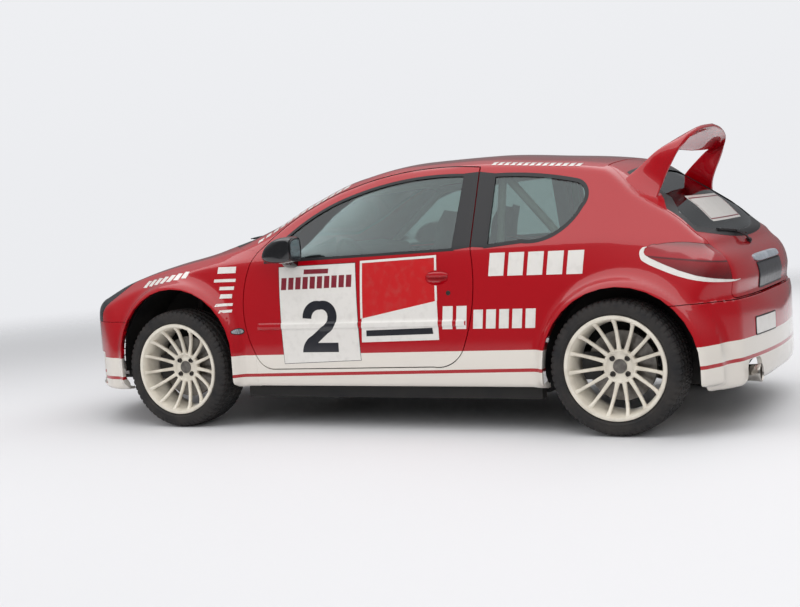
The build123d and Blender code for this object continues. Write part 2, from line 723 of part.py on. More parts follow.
# Bonnet, cowl, roof and tailgate
with BuildPart() as bonnet:
    add(body_shell.part)
    above(bonnet_plan, 560, Mode.INTERSECT)
save("bonnet", bonnet.part)
with BuildPart() as cowl:
    add(body_shell.part)
    above(cowl_region, 850, Mode.INTERSECT)
    extrude(on_front(grown(windscreen_outline(), SEAM), front(100)), amount=400, mode=Mode.SUBTRACT)
save("cowl_panel", cowl.part)
with BuildPart() as roof:
    add(body_shell.part)
    above(roof_region, 900, Mode.INTERSECT)
    extrude(on_front(grown(windscreen_outline(), SEAM), front(100)), amount=1050, mode=Mode.SUBTRACT)
save("roof_panel", roof.part)
with BuildPart() as tailgate_inner:
    add(body_shell.part)
    extrude(on_front(grown(tailgate_outline(), -TAILGATE_FLANGE), rear(TAILGATE_HINGE_AFT)),
            amount=1000, mode=Mode.INTERSECT)
with BuildPart() as tailgate:
    add(outer_form)
    add(glass_form, mode=Mode.SUBTRACT)
    extrude(on_front(tailgate_outline(), rear(TAILGATE_HINGE_AFT)), amount=1000,
            mode=Mode.INTERSECT)
    add(tailgate_inner.part)
    extrude(on_front(rear_window_outline(), rear(TAILGATE_HINGE_AFT)), amount=1000,
            mode=Mode.SUBTRACT)
save("tailgate", tailgate.part)

# Lamps
with BuildPart() as headlamp:
    add(left_shell.part)
    above(headlamp_outline(), FRONT_BUMPER_Z + SEAM, Mode.INTERSECT)
    above(grown(bonnet_plan, SHUT_GAP), 300)
save("headlamps", pair(headlamp.part))
with BuildPart() as tail_lamp:
    add(left_shell.part)
    extrude(on_side(tail_lamp_outline(), 480), amount=REACH, mode=Mode.INTERSECT)
    extrude(on_front(grown(tailgate_outline(), SHUT_GAP), rear(TAILGATE_HINGE_AFT) - SHUT_GAP),
            amount=1000, mode=Mode.SUBTRACT)
save("tail_lamps", pair(tail_lamp.part))

# Glass, set in the openings with a thin seal line
with BuildPart() as door_glass:
    add(glass_sheet.part)
    extrude(on_side(grown(door_window(), -FIT)), amount=REACH, mode=Mode.INTERSECT)
with BuildPart() as quarter_glass:
    add(glass_sheet.part)
    extrude(on_side(grown(quarter_window(), -FIT)), amount=REACH, mode=Mode.INTERSECT)
with BuildPart() as windscreen:
    add(glass_sheet.part)
    extrude(on_front(grown(windscreen_outline(), -FIT), front(100)), amount=1050,
            mode=Mode.INTERSECT)
with BuildPart() as rear_window:
    add(glass_sheet.part)
    extrude(on_front(grown(rear_window_outline(), -FIT), rear(TAILGATE_HINGE_AFT)), amount=1000,
            mode=Mode.INTERSECT)
save("windscreen", windscreen.part)
save("rear_window", rear_window.part)
save("quarter_windows", pair(quarter_glass.part))
save("door_glass_left", door_glass.part)
save("door_glass_right", mirrored(door_glass.part))

# Floor, tunnel, firewall and boot floor, with lips that meet the sills from below
floor_span = (front(FIREWALL_AFT), rear(KICK_UP_AFT))
tunnel_inner = TUNNEL_HALF_WIDTH - FLOOR_WALL
with BuildPart() as floor_pan:
    block((-FLOOR_HALF_WIDTH, FLOOR_HALF_WIDTH), floor_span, (FLOOR_Z, FLOOR_Z + FLOOR_WALL))
    for side in (-1, 1):
        block((side * 770 - 30, side * 770 + 30), (floor_span[0], rear(-385)),
              (FLOOR_Z, SILL_Z - FIT))
    block((-TUNNEL_HALF_WIDTH, TUNNEL_HALF_WIDTH), floor_span, (FLOOR_Z, TUNNEL_TOP_Z))
    block((-FIREWALL_HALF_WIDTH, FIREWALL_HALF_WIDTH), (floor_span[0], floor_span[0] + FLOOR_WALL),
          (FLOOR_Z, FIREWALL_TOP_Z))
    block((FIT - REAR_WALL_X, REAR_WALL_X - FIT), (floor_span[1], floor_span[1] + FLOOR_WALL),
          (FLOOR_Z, BOOT_FLOOR_Z))
    block((FIT - REAR_WALL_X, REAR_WALL_X - FIT), (floor_span[1], rear(BOOT_END_AFT)),
          (BOOT_FLOOR_Z - FLOOR_WALL, BOOT_FLOOR_Z))
    block((-tunnel_inner, tunnel_inner), (floor_span[0] - 10, floor_span[1] + 50),
          (FLOOR_Z - 10, TUNNEL_TOP_Z - FLOOR_WALL), Mode.SUBTRACT)
save("floor_pan", floor_pan.part)

# Wheelhouses: a liner round each tyre, an inner wall, and the front strut's tower
BALL_JOINT = Vector(BALL_JOINT_X, FRONT_AXLE_Y, BALL_JOINT_Z)
STRUT_TOP = Vector(STRUT_TOP_X, FRONT_AXLE_Y, STRUT_TOP_Z)
KINGPIN = (STRUT_TOP - BALL_JOINT).normalized()
BELOW_BONNET = 12.0
liner_radius = POCKET_RADIUS - FIT - LINER_WALL


def wheelhouse(centre, wall_x):
    """The liner's band and the half disc that closes its inner side."""
    with BuildPart() as house:
        extrude(on_side(arch(*centre, POCKET_RADIUS - FIT), wall_x),
                amount=POCKET_OUTER_X - FIT - wall_x)
        extrude(on_side(arch(*centre, liner_radius), wall_x + INNER_WALL), amount=REACH,
                mode=Mode.SUBTRACT)
    return house.part


with BuildPart() as front_house:
    add(wheelhouse(FRONT_ARCH, FRONT_WALL_X))
    block((FRONT_WALL_X, FRONT_WALL_X + INNER_WALL), (front(-640), front(284)), (300, 1000))
    with Locations((STRUT_TOP_X, FRONT_AXLE_Y, (TOWER_BASE_Z + TOWER_TOP_Z) / 2)):
        Cylinder(TOWER_RADIUS, TOWER_TOP_Z - TOWER_BASE_Z)
    tube(STRUT_TOP - KINGPIN * 90, STRUT_TOP, STRUT_RADIUS + 12, Mode.SUBTRACT)
    tube(STRUT_TOP - KINGPIN * 10, STRUT_TOP + KINGPIN * 60, PIN_RADIUS + RUNNING_FIT,
         Mode.SUBTRACT)
    block((0, REACH), (front(-1000), front(1000)), (-10, 300), Mode.SUBTRACT)
    add(Pos(0, 0, -BELOW_BONNET) * inner_form, mode=Mode.INTERSECT)
with BuildPart() as bonnet_stop:
    block((FRONT_WALL_X, FRONT_WALL_X + 40), (front(40), front(90)), (820, 1000))
    add(Pos(0, 0, -FIT) * inner_form, mode=Mode.INTERSECT)
with BuildPart() as rear_house:
    add(wheelhouse(REAR_ARCH, REAR_WALL_X))
    block((REAR_WALL_X - 10, REAR_WALL_X + INNER_WALL), (rear(-600), rear(600)),
          (-10, BOOT_FLOOR_Z - FLOOR_WALL), Mode.SUBTRACT)
    block((0, REACH), (rear(-600), rear(600)), (-10, SILL_Z + 18), Mode.SUBTRACT)
with BuildPart() as inner_wing:
    add(front_house.part)
    add(bonnet_stop.part)
save("inner_wings", pair(inner_wing.part))
save("rear_wheelhouses", pair(rear_house.part))

# Hubs: a brake disc with its hat and stub, and the caliper that straddles it
HUB_INNER_X = HUB_FACE_X - HUB_PAD_DEPTH
disc = turned([
    (STUB_END_X, 0), (STUB_END_X, STUB_RADIUS), (HUB_INNER_X - FIT - HAT_WALL, STUB_RADIUS),
    (HUB_INNER_X - FIT - HAT_WALL, HAT_RADIUS - HAT_WALL), (DISC_INNER_X, HAT_RADIUS - HAT_WALL),
    (DISC_INNER_X, DISC_RADIUS), (DISC_OUTER_X, DISC_RADIUS), (DISC_OUTER_X, HAT_RADIUS),
    (HUB_INNER_X - FIT, HAT_RADIUS), (HUB_INNER_X - FIT, CENTRE_BORE_RADIUS - FIT),
    (HUB_FACE_X - 4, CENTRE_BORE_RADIUS - FIT), (HUB_FACE_X - 4, 0)])


def caliper(axle_y):
    """Ahead of the hub, with a slot that clears the disc, on a bracket to the bearing."""
    slot = (DISC_INNER_X - RUNNING_GAP, DISC_OUTER_X + RUNNING_GAP)
    hub = [(x, axle_y, TYRE_RADIUS) for x in slot]
    with BuildPart() as clamp:
        block((slot[0] - CALIPER_WALL, slot[1] + CALIPER_WALL), (axle_y - 190, axle_y - 95),
              (TYRE_RADIUS - 65, TYRE_RADIUS + 65))
        tube((600, axle_y, TYRE_RADIUS), (900, axle_y, TYRE_RADIUS), CALIPER_REACH,
             Mode.INTERSECT)
        tube(*hub, DISC_RADIUS + RUNNING_GAP, Mode.SUBTRACT)
        block((BEARING_INNER_X + 4, slot[0]), (axle_y - 130, axle_y - 35),
              (TYRE_RADIUS - 24, TYRE_RADIUS + 24))
    return clamp.part


def bearing(axle_y):
    tube((BEARING_INNER_X, axle_y, TYRE_RADIUS), (BEARING_OUTER_X, axle_y, TYRE_RADIUS),
         BEARING_RADIUS)


def bearing_bore(axle_y):
    tube((STUB_END_X - FIT, axle_y, TYRE_RADIUS), (BEARING_OUTER_X + 10, axle_y, TYRE_RADIUS),
         STUB_RADIUS + RUNNING_FIT, Mode.SUBTRACT)


# Front knuckle with its strut; it turns on a pin in the wishbone and one in the tower
knuckle_arm = (FRONT_AXLE_Y - 20, FRONT_AXLE_Y + 20)
with BuildPart() as knuckle_left:
    bearing(FRONT_AXLE_Y)
    add(caliper(FRONT_AXLE_Y))
    block((BALL_JOINT_X - 14, BALL_JOINT_X + 14), knuckle_arm, (236, 290))
    tube(BALL_JOINT - KINGPIN * PIN_HALF_LENGTH, BALL_JOINT + KINGPIN * 40, PIN_RADIUS)
    tube_run([(700, FRONT_AXLE_Y, 345), (STRUT_FOOT_X, FRONT_AXLE_Y, STRUT_FOOT_Z),
              tuple(STRUT_TOP - KINGPIN * 28)], STRUT_RADIUS)
    tube(STRUT_TOP - KINGPIN * 40, STRUT_TOP + KINGPIN * PIN_HALF_LENGTH, PIN_RADIUS)
    bearing_bore(FRONT_AXLE_Y)
save("knuckle_left", knuckle_left.part)
save("knuckle_right", mirrored(knuckle_left.part))

# Front subframe: two rails, two cross tubes and the towing eye
rail_top = ENGINE_BASE_Z - FIT
rail_outer_x = RAIL_X + RAIL_WIDTH / 2
TOW_EYE_AFT = -800.0
TOW_EYE_BORE_RADIUS = 17.0
TOW_EYE_RADIUS = 30.0
TOW_EYE_DEPTH = 12.0
tow_eye_top = RAIL_BASE_Z + TOW_EYE_DEPTH
with BuildPart() as subframe_half:
    block((RAIL_X - RAIL_WIDTH / 2, rail_outer_x), (front(-760), floor_span[0] - FIT),
          (RAIL_BASE_Z, rail_top))
    for cross_aft in (-120, 120):
        block((0, RAIL_X), (front(cross_aft - 25), front(cross_aft + 25)), (RAIL_BASE_Z, rail_top))
with BuildPart() as front_subframe:
    add(subframe_half.part)
    mirror(subframe_half.part, about=Plane.YZ)
    block((RAIL_X - TOW_EYE_RADIUS, RAIL_X + TOW_EYE_RADIUS),
          (front(TOW_EYE_AFT), front(TOW_EYE_AFT + 60)), (RAIL_BASE_Z, tow_eye_top))
    tube((RAIL_X, front(TOW_EYE_AFT), RAIL_BASE_Z), (RAIL_X, front(TOW_EYE_AFT), tow_eye_top),
         TOW_EYE_RADIUS)
    tube((RAIL_X, front(TOW_EYE_AFT), RAIL_BASE_Z - 10),
         (RAIL_X, front(TOW_EYE_AFT), tow_eye_top + 10), TOW_EYE_BORE_RADIUS, Mode.SUBTRACT)
save("front_subframe", front_subframe.part)
with BuildPart() as radiator:
    block((-rail_outer_x, rail_outer_x), (front(-758), front(-713)), (rail_top + FIT, 560))
save("radiator", radiator.part)

# Wishbones from the subframe's rails out to the knuckles' lower pins
WISHBONE_HALF_BASE = 170.0
wishbone_root_x = rail_outer_x + FIT
with BuildPart() as wishbone:
    extrude(Plane.XY.offset(WISHBONE_Z) * polygon([
        (wishbone_root_x, front(-WISHBONE_HALF_BASE)), (BALL_JOINT_X, front(-18)),
        (BALL_JOINT_X, front(18)), (wishbone_root_x, front(WISHBONE_HALF_BASE))]),
        amount=WISHBONE_DEPTH)
    extrude(Plane.XY.offset(WISHBONE_Z) * polygon([
        (wishbone_root_x, front(-120)), (600, front(-22)), (600, front(22)),
        (wishbone_root_x, front(120))]),
        amount=WISHBONE_DEPTH, mode=Mode.SUBTRACT)
    tube(BALL_JOINT - KINGPIN * 11, BALL_JOINT + KINGPIN * 11, PIN_RADIUS + 9)
    tube(BALL_JOINT - KINGPIN * 40, BALL_JOINT + KINGPIN * 40, PIN_RADIUS + RUNNING_FIT,
         Mode.SUBTRACT)
save("wishbones", pair(wishbone.part))

# Rear axle: beam, bearings, calipers, trailing arms and dampers
with BuildPart() as axle_half:
    tube((0, REAR_AXLE_Y, TYRE_RADIUS), (BEARING_INNER_X + 4, REAR_AXLE_Y, TYRE_RADIUS),
         BEAM_RADIUS)
    bearing(REAR_AXLE_Y)
    add(caliper(REAR_AXLE_Y))
    block((TRAILING_ARM_X - 15, TRAILING_ARM_X + 15),
          (floor_span[1] + FLOOR_WALL + FIT, REAR_AXLE_Y), (TYRE_RADIUS - 50, TYRE_RADIUS))
    tube((540, rear(20), TYRE_RADIUS), (540, rear(20), BOOT_FLOOR_Z - FLOOR_WALL - FIT), 28)
    bearing_bore(REAR_AXLE_Y)
with BuildPart() as rear_axle:
    add(axle_half.part)
    mirror(axle_half.part, about=Plane.YZ)
save("rear_axle", rear_axle.part)

# Wheels and tyres, at the origin and then at each corner
rim_half = RIM_WIDTH / 2
inner_edge, outer_edge = WHEEL_X - rim_half, WHEEL_X + rim_half
bore_radius = RIM_SEAT_RADIUS - RIM_WALL
SPOKE_RISE = 22.0
barrel = turned([
    (inner_edge, bore_radius), (inner_edge, RIM_FLANGE_RADIUS),
    (inner_edge + RIM_WALL, RIM_FLANGE_RADIUS), (inner_edge + RIM_WALL, RIM_SEAT_RADIUS),
    (outer_edge - RIM_WALL, RIM_SEAT_RADIUS), (outer_edge - RIM_WALL, RIM_FLANGE_RADIUS),
    (outer_edge, RIM_FLANGE_RADIUS), (outer_edge, bore_radius + 12),
    (outer_edge - 20, bore_radius)])
spoke_x = HUB_FACE_X - SPOKE_DEPTH / 2
with BuildPart() as spoke:
    with BuildSketch(Plane.XY.offset(HUB_PAD_RADIUS - 6)) as spoke_foot:
        with Locations((spoke_x, 0)):
            Rectangle(SPOKE_DEPTH, SPOKE_HUB_WIDTH)
    with BuildSketch(Plane.XY.offset(bore_radius + 2)) as spoke_tip:
        with Locations((spoke_x + SPOKE_RISE, 0)):
            Rectangle(SPOKE_DEPTH, SPOKE_RIM_WIDTH)
    loft(ruled=True)
with BuildPart() as wheel:
    add(barrel)
    tube((HUB_INNER_X, 0, 0), (HUB_FACE_X, 0, 0), HUB_PAD_RADIUS)
    for number in range(SPOKE_COUNT):
        add(Rot(360 * number / SPOKE_COUNT, 0, 0) * spoke.part)
    tube((HUB_INNER_X - 10, 0, 0), (HUB_FACE_X + 10, 0, 0), CENTRE_BORE_RADIUS, Mode.SUBTRACT)
    for number in range(LUG_COUNT):
        lug_angle = 2 * pi * (number + 0.5) / LUG_COUNT
        lug_y, lug_z = LUG_CIRCLE_RADIUS * cos(lug_angle), LUG_CIRCLE_RADIUS * sin(lug_angle)
        tube((HUB_INNER_X - 10, lug_y, lug_z), (HUB_FACE_X + 10, lug_y, lug_z), LUG_HOLE_RADIUS,
             Mode.SUBTRACT)
tyre_half = TYRE_WIDTH / 2
bead = rim_half - RIM_WALL - FIT
tyre_outline = [
    (bead, RIM_SEAT_RADIUS + FIT), (bead, RIM_FLANGE_RADIUS + 3), (tyre_half - 5, 258),
    (tyre_half, 276), (tyre_half - 4, 300), (tyre_half - 14, 314), (tyre_half - 26, TYRE_RADIUS)]
tyre = turned([(WHEEL_X + x, r) for x, r in tyre_outline]
              + [(WHEEL_X - x, r) for x, r in reversed(tyre_outline)])
for axle, axle_y in (("front", FRONT_AXLE_Y), ("rear", REAR_AXLE_Y)):
    hub_place = Pos(0, axle_y, TYRE_RADIUS)
    for kind, piece in (("wheel", wheel.part), ("tyre", tyre), ("brake_disc", disc)):
        save(f"{kind}_{axle}_left", hub_place * piece)
        save(f"{kind}_{axle}_right", mirrored(hub_place * piece))

# Engine and exhaust
with BuildPart() as engine_block:
    block((-ENGINE_HALF_WIDTH, ENGINE_HALF_WIDTH), (front(ENGINE_FRONT_AFT), front(ENGINE_REAR_AFT)),
          (ENGINE_BASE_Z, ENGINE_TOP_Z))
save("engine_block", engine_block.part)
SILENCER_X = 400.0
silencer_span = (rear(200), rear(470))
tail_end = (TAIL_PIPE_X, rear(585), TAIL_PIPE_Z)
with BuildPart() as exhaust:
    tube_run([(0, front(ENGINE_REAR_AFT) + FIT, PIPE_Z), (0, rear(-200), PIPE_Z),
              (SILENCER_X, rear(80), PIPE_Z), (SILENCER_X, silencer_span[0] + 10, PIPE_Z)],
             PIPE_RADIUS)
    block((SILENCER_X - 150, SILENCER_X + 150), silencer_span, (215, 365))
    block((SILENCER_X - 20, SILENCER_X + 20), (rear(320), rear(350)),
          (360, BOOT_FLOOR_Z - FLOOR_WALL - FIT))
    tube((TAIL_PIPE_X, silencer_span[1] - 5, TAIL_PIPE_Z), tail_end, TAIL_PIPE_RADIUS)
    tube((TAIL_PIPE_X, rear(500), TAIL_PIPE_Z), (TAIL_PIPE_X, rear(600), TAIL_PIPE_Z),
         TAIL_PIPE_RADIUS - 3, Mode.SUBTRACT)
save("exhaust", exhaust.part)

# Roll cage: the main hoop with its backstays, the front frame under the roof, and the door bars
HOOP_AFT = 1830.0
HOOP_FOOT_X = 620.0
HOOP_TOP_X = 515.0
HOOP_TOP_Z = 1258.0
HOOP_WAIST_Z = 850.0
CROSS_TUBE_Z = 700.0
LEG_X = 680.0
HEADER_AFT = 1010.0
HEADER_X = 530.0
HEADER_Z = 1200.0
HEADER_CROWN_Z = 1245.0
DOOR_BAR_TOP_Z = 640.0
DOOR_BAR_FOOT_Z = 320.0
FOOT_WALL = 5.0
cage_floor = FLOOR_Z + FLOOR_WALL + FIT
boot_top = BOOT_FLOOR_Z + FIT
hoop_top = (HOOP_TOP_X, front(HOOP_AFT), HOOP_TOP_Z)
header = (HEADER_X, front(HEADER_AFT), HEADER_Z)
leg_top = (LEG_X, front(560), 880)
leg_foot = (LEG_X, front(580), cage_floor)
hoop_foot = (HOOP_FOOT_X, front(HOOP_AFT), cage_floor)


def main_hoop(radius):
    tube_run([(0, front(HOOP_AFT), HOOP_TOP_Z), hoop_top,
              (HOOP_FOOT_X, front(HOOP_AFT), HOOP_WAIST_Z), hoop_foot], radius)


def front_leg(radius):
    tube_run([leg_foot, leg_top, header], radius)


def foot_plate(x, y):
    block((x - 40, x + 30), (y - 40, y + 40), (cage_floor, cage_floor + FOOT_WALL))


with BuildPart() as hoop_room:
    main_hoop(TUBE_RADIUS + FIT)
with BuildPart() as leg_room:
    front_leg(TUBE_RADIUS + FIT)
with BuildPart() as below_floor:
    block((0, REACH), floor_span, (0, cage_floor))
with BuildPart() as hoop_half:
    main_hoop(TUBE_RADIUS)
    foot_plate(HOOP_FOOT_X, front(HOOP_AFT))
    tube((0, front(HOOP_AFT), CROSS_TUBE_Z), (HOOP_FOOT_X, front(HOOP_AFT), CROSS_TUBE_Z), TUBE_RADIUS)
    tube(hoop_top, (500, rear(60), boot_top + 6), TUBE_RADIUS)
    block((460, 540), (rear(10), rear(110)), (boot_top, boot_top + FOOT_WALL))
    add(below_floor.part, mode=Mode.SUBTRACT)
    block((0, REACH), (rear(0), rear(200)), (0, boot_top), Mode.SUBTRACT)
with BuildPart() as frame_half:
    front_leg(TUBE_RADIUS)
    foot_plate(*leg_foot[:2])
    tube_run([(0, front(HEADER_AFT), HEADER_CROWN_Z), (400, front(HEADER_AFT), 1228), header, hoop_top],
             TUBE_RADIUS)
    add(below_floor.part, mode=Mode.SUBTRACT)
    add(hoop_room.part, mode=Mode.SUBTRACT)
with BuildPart() as bars_half:
    for bar_front_z, bar_rear_z in ((DOOR_BAR_FOOT_Z, DOOR_BAR_TOP_Z), (DOOR_BAR_TOP_Z, DOOR_BAR_FOOT_Z)):
        leg_share = (bar_front_z - cage_floor) / (leg_top[2] - cage_floor)
        bar_front = Vector(*leg_foot) + (Vector(*leg_top) - Vector(*leg_foot)) * leg_share
        tube(bar_front, (HOOP_FOOT_X, front(HOOP_AFT), bar_rear_z), TUBE_RADIUS)
    add(leg_room.part, mode=Mode.SUBTRACT)
    add(hoop_room.part, mode=Mode.SUBTRACT)
with BuildPart() as roll_cage:
    add(hoop_half.part)
    mirror(hoop_half.part, about=Plane.YZ)
save("roll_cage", roll_cage.part)
with BuildPart() as cage_front:
    add(frame_half.part)
    mirror(frame_half.part, about=Plane.YZ)
save("cage_front", cage_front.part)
save("door_bars", pair(bars_half.part))

# Seats: a slim shell between raised side wings, on two floor rails
seat_shell = polygon([
    (front(880), 330), (front(910), 390), (front(1200), 350), (front(1290), 380),
    (front(1500), 960), (front(1510), 1090), (front(1565), 1090), (front(1560), 940),
    (front(1350), 300), (front(1300), 270), (front(900), 290)])
seat_side = polygon([
    (front(880), 320), (front(900), 430), (front(1100), 470), (front(1230), 560),
    (front(1340), 840), (front(1390), 880), (front(1440), 860), (front(1450), 1050),
    (front(1510), 1100), (front(1570), 1095), (front(1565), 930), (front(1355), 295),
    (front(1300), 265), (front(900), 285)])
with BuildPart() as seat:
    extrude(on_side(seat_shell, SEAT_X - SEAT_WIDTH / 2 + 5), amount=SEAT_WIDTH - 10)
    for side_x in (SEAT_X - SEAT_WIDTH / 2, SEAT_X + SEAT_WIDTH / 2 - SEAT_SIDE_WIDTH):
        extrude(on_side(seat_side, side_x), amount=SEAT_SIDE_WIDTH)
        block((side_x, side_x + 30), (front(940), front(1280)), (cage_floor, 300))
save("seats", pair(seat.part))

# Dashboard, bored for the steering column
STEERING_HUB = Vector(SEAT_X, front(885), 800)
COLUMN = Vector(0, -cos(STEERING_TILT * pi / 180), -sin(STEERING_TILT * pi / 180))
dash_outline = polygon([
    (front(436) + FIT, 620), (front(436) + FIT, FIREWALL_TOP_Z + FIT),
    (front(290), FIREWALL_TOP_Z + FIT), (front(290), 905), (front(520), 925), (front(700), 900),
    (front(740), 850), (front(740), 760), (front(660), 640)])
with BuildPart() as dashboard:
    extrude(on_side(dash_outline, -DASH_HALF_WIDTH), amount=2 * DASH_HALF_WIDTH)
    tube(STEERING_HUB, STEERING_HUB + COLUMN * (COLUMN_LENGTH + FIT), COLUMN_RADIUS + RUNNING_FIT,
         Mode.SUBTRACT)
save("dashboard", dashboard.part)
with BuildPart() as steering_wheel:
    with Locations(Plane(STEERING_HUB, x_dir=(1, 0, 0), z_dir=COLUMN)):
        Torus(STEERING_RADIUS, 15)
        Cylinder(38, 36)
        Box(2 * STEERING_RADIUS, 34, 10)
        with Locations((0, -STEERING_RADIUS / 2)):
            Box(34, STEERING_RADIUS, 10)
    tube(STEERING_HUB, STEERING_HUB + COLUMN * COLUMN_LENGTH, COLUMN_RADIUS)
save("steering_wheel", steering_wheel.part)

# Door mirrors: a rounded housing on a foot that follows the door's skin
MIRROR_INNER_X = 846.0
MIRROR_OUTER_X = 970.0


def mirror_outline():
    with BuildSketch(Plane.XY) as outline:
        with BuildLine():
            ThreePointArc((front(636), 905), (front(672), 972), (front(770), 1004))
            ThreePointArc((front(770), 1004), (front(812), 1000), (front(830), 975))
            Line((front(830), 975), (front(828), 915))
            ThreePointArc((front(828), 915), (front(815), 882), (front(780), 874))
            Line((front(780), 874), (front(690), 872))
            ThreePointArc((front(690), 872), (front(650), 882), (front(636), 905))
        make_face()
    return outline.sketch


with BuildPart() as mirror_left:
    extrude(on_side(mirror_outline(), MIRROR_INNER_X), amount=MIRROR_OUTER_X - MIRROR_INNER_X)
    fillet(mirror_left.faces().sort_by(Axis.X)[-1].edges(), 30)
    block((700, MIRROR_INNER_X + 30), (front(690), front(770)), (838, 900))
    add(outer_form, mode=Mode.SUBTRACT)
save("mirror_left", Pos(FIT, 0, 0) * mirror_left.part)
save("mirror_right", mirrored(Pos(FIT, 0, 0) * mirror_left.part))

# Rear wing: a blade on two swept fins, drawn from the side and hollowed between the fins
WING_HALF_SPAN = 497.0
FIN_WIDTH = 40.0


def wing_outline():
    with BuildSketch(Plane.XY) as outline:
        with BuildLine():
            ThreePointArc((rear(-50), 1190), (rear(61), 1256), (rear(162), 1338))
            ThreePointArc((rear(162), 1338), (rear(250), 1400), (rear(345), 1446))
            Line((rear(345), 1446), (rear(330), 1405))
            ThreePointArc((rear(330), 1405), (rear(215), 1245), (rear(120), 1040))
            Line((rear(120), 1040), (rear(-60), 1100))
            Line((rear(-60), 1100), (rear(-50), 1190))
        make_face()
    return outline.sketch


def wing_face():
    """The wing seen from behind: a hoop with rounded upper corners."""
    with BuildSketch(Plane.XY) as outline:
        with BuildLine():
            ThreePointArc((-400, 1434), (0, 1450), (400, 1434))
            ThreePointArc((400, 1434), (470, 1404), (WING_HALF_SPAN, 1340))
            Line((WING_HALF_SPAN, 1340), (WING_HALF_SPAN, 1000))
            Line((WING_HALF_SPAN, 1000), (-WING_HALF_SPAN, 1000))
            Line((-WING_HALF_SPAN, 1000), (-WING_HALF_SPAN, 1340))
            ThreePointArc((-WING_HALF_SPAN, 1340), (-470, 1404), (-400, 1434))
        make_face()
    return outline.sketch


wing_window = polygon([
    (rear(80), 1300), (rear(165), 1318), (rear(345), 1412), (rear(400), 1412), (rear(400), 900),
    (rear(-100), 900), (rear(-100), 1300)])
with BuildPart() as rear_wing:
    extrude(on_side(wing_outline(), -WING_HALF_SPAN), amount=2 * WING_HALF_SPAN)
    extrude(on_front(wing_face(), rear(-100)), amount=500, mode=Mode.INTERSECT)
    extrude(on_side(wing_window, FIN_WIDTH - WING_HALF_SPAN),
            amount=2 * (WING_HALF_SPAN - FIN_WIDTH), mode=Mode.SUBTRACT)
    add(outer_form, mode=Mode.SUBTRACT)
save("rear_wing", Pos(0, 0, FIT) * rear_wing.part)
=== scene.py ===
"""Rally hatchback dressed round its CAD frame. Metres: front towards -Y, left side +X, up +Z."""
from math import atan2, ceil, cos, hypot, pi, radians, sin, sqrt

import bmesh
import bpy
import numpy as np
from mathutils import Matrix, Vector
from mathutils.geometry import delaunay_2d_cdt


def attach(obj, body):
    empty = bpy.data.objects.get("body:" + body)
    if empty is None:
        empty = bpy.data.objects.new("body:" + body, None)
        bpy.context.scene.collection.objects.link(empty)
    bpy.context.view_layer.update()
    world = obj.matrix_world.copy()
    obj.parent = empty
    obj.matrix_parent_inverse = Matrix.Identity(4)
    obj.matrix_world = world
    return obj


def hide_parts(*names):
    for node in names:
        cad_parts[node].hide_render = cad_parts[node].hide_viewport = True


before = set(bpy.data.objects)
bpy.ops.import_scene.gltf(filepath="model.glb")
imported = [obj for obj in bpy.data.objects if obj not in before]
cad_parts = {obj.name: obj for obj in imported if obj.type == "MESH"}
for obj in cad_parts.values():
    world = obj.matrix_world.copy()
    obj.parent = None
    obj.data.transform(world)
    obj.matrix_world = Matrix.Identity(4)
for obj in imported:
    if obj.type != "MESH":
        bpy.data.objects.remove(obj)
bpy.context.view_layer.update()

# The camera: behind the left side, with the picture's slight roll.
# A 60 mm lens on a 36 mm frame, about seven metres from the car.
yaw, pitch, roll = radians(27.125), radians(-4.450), radians(-3.759)
sight = Vector((-cos(yaw) * cos(pitch), -sin(yaw) * cos(pitch), sin(pitch)))
level = sight.cross(Vector((0, 0, 1))).normalized()
upright = level.cross(sight)
across = level * cos(roll) + upright * sin(roll)
lens_up = -level * sin(roll) + upright * cos(roll)
camera = bpy.data.objects.new("camera", bpy.data.cameras.new("camera"))
bpy.context.scene.collection.objects.link(camera)
camera.matrix_world = Matrix.Translation((6.7194, 3.3266, 1.1585)) @ Matrix(
    (across, lens_up, -sight)).transposed().to_4x4()
camera.data.sensor_width = 36
camera.data.lens = 36 * 1334.80 / 800
bpy.context.scene.camera = camera
bpy.context.scene.view_settings.view_transform = "Standard"


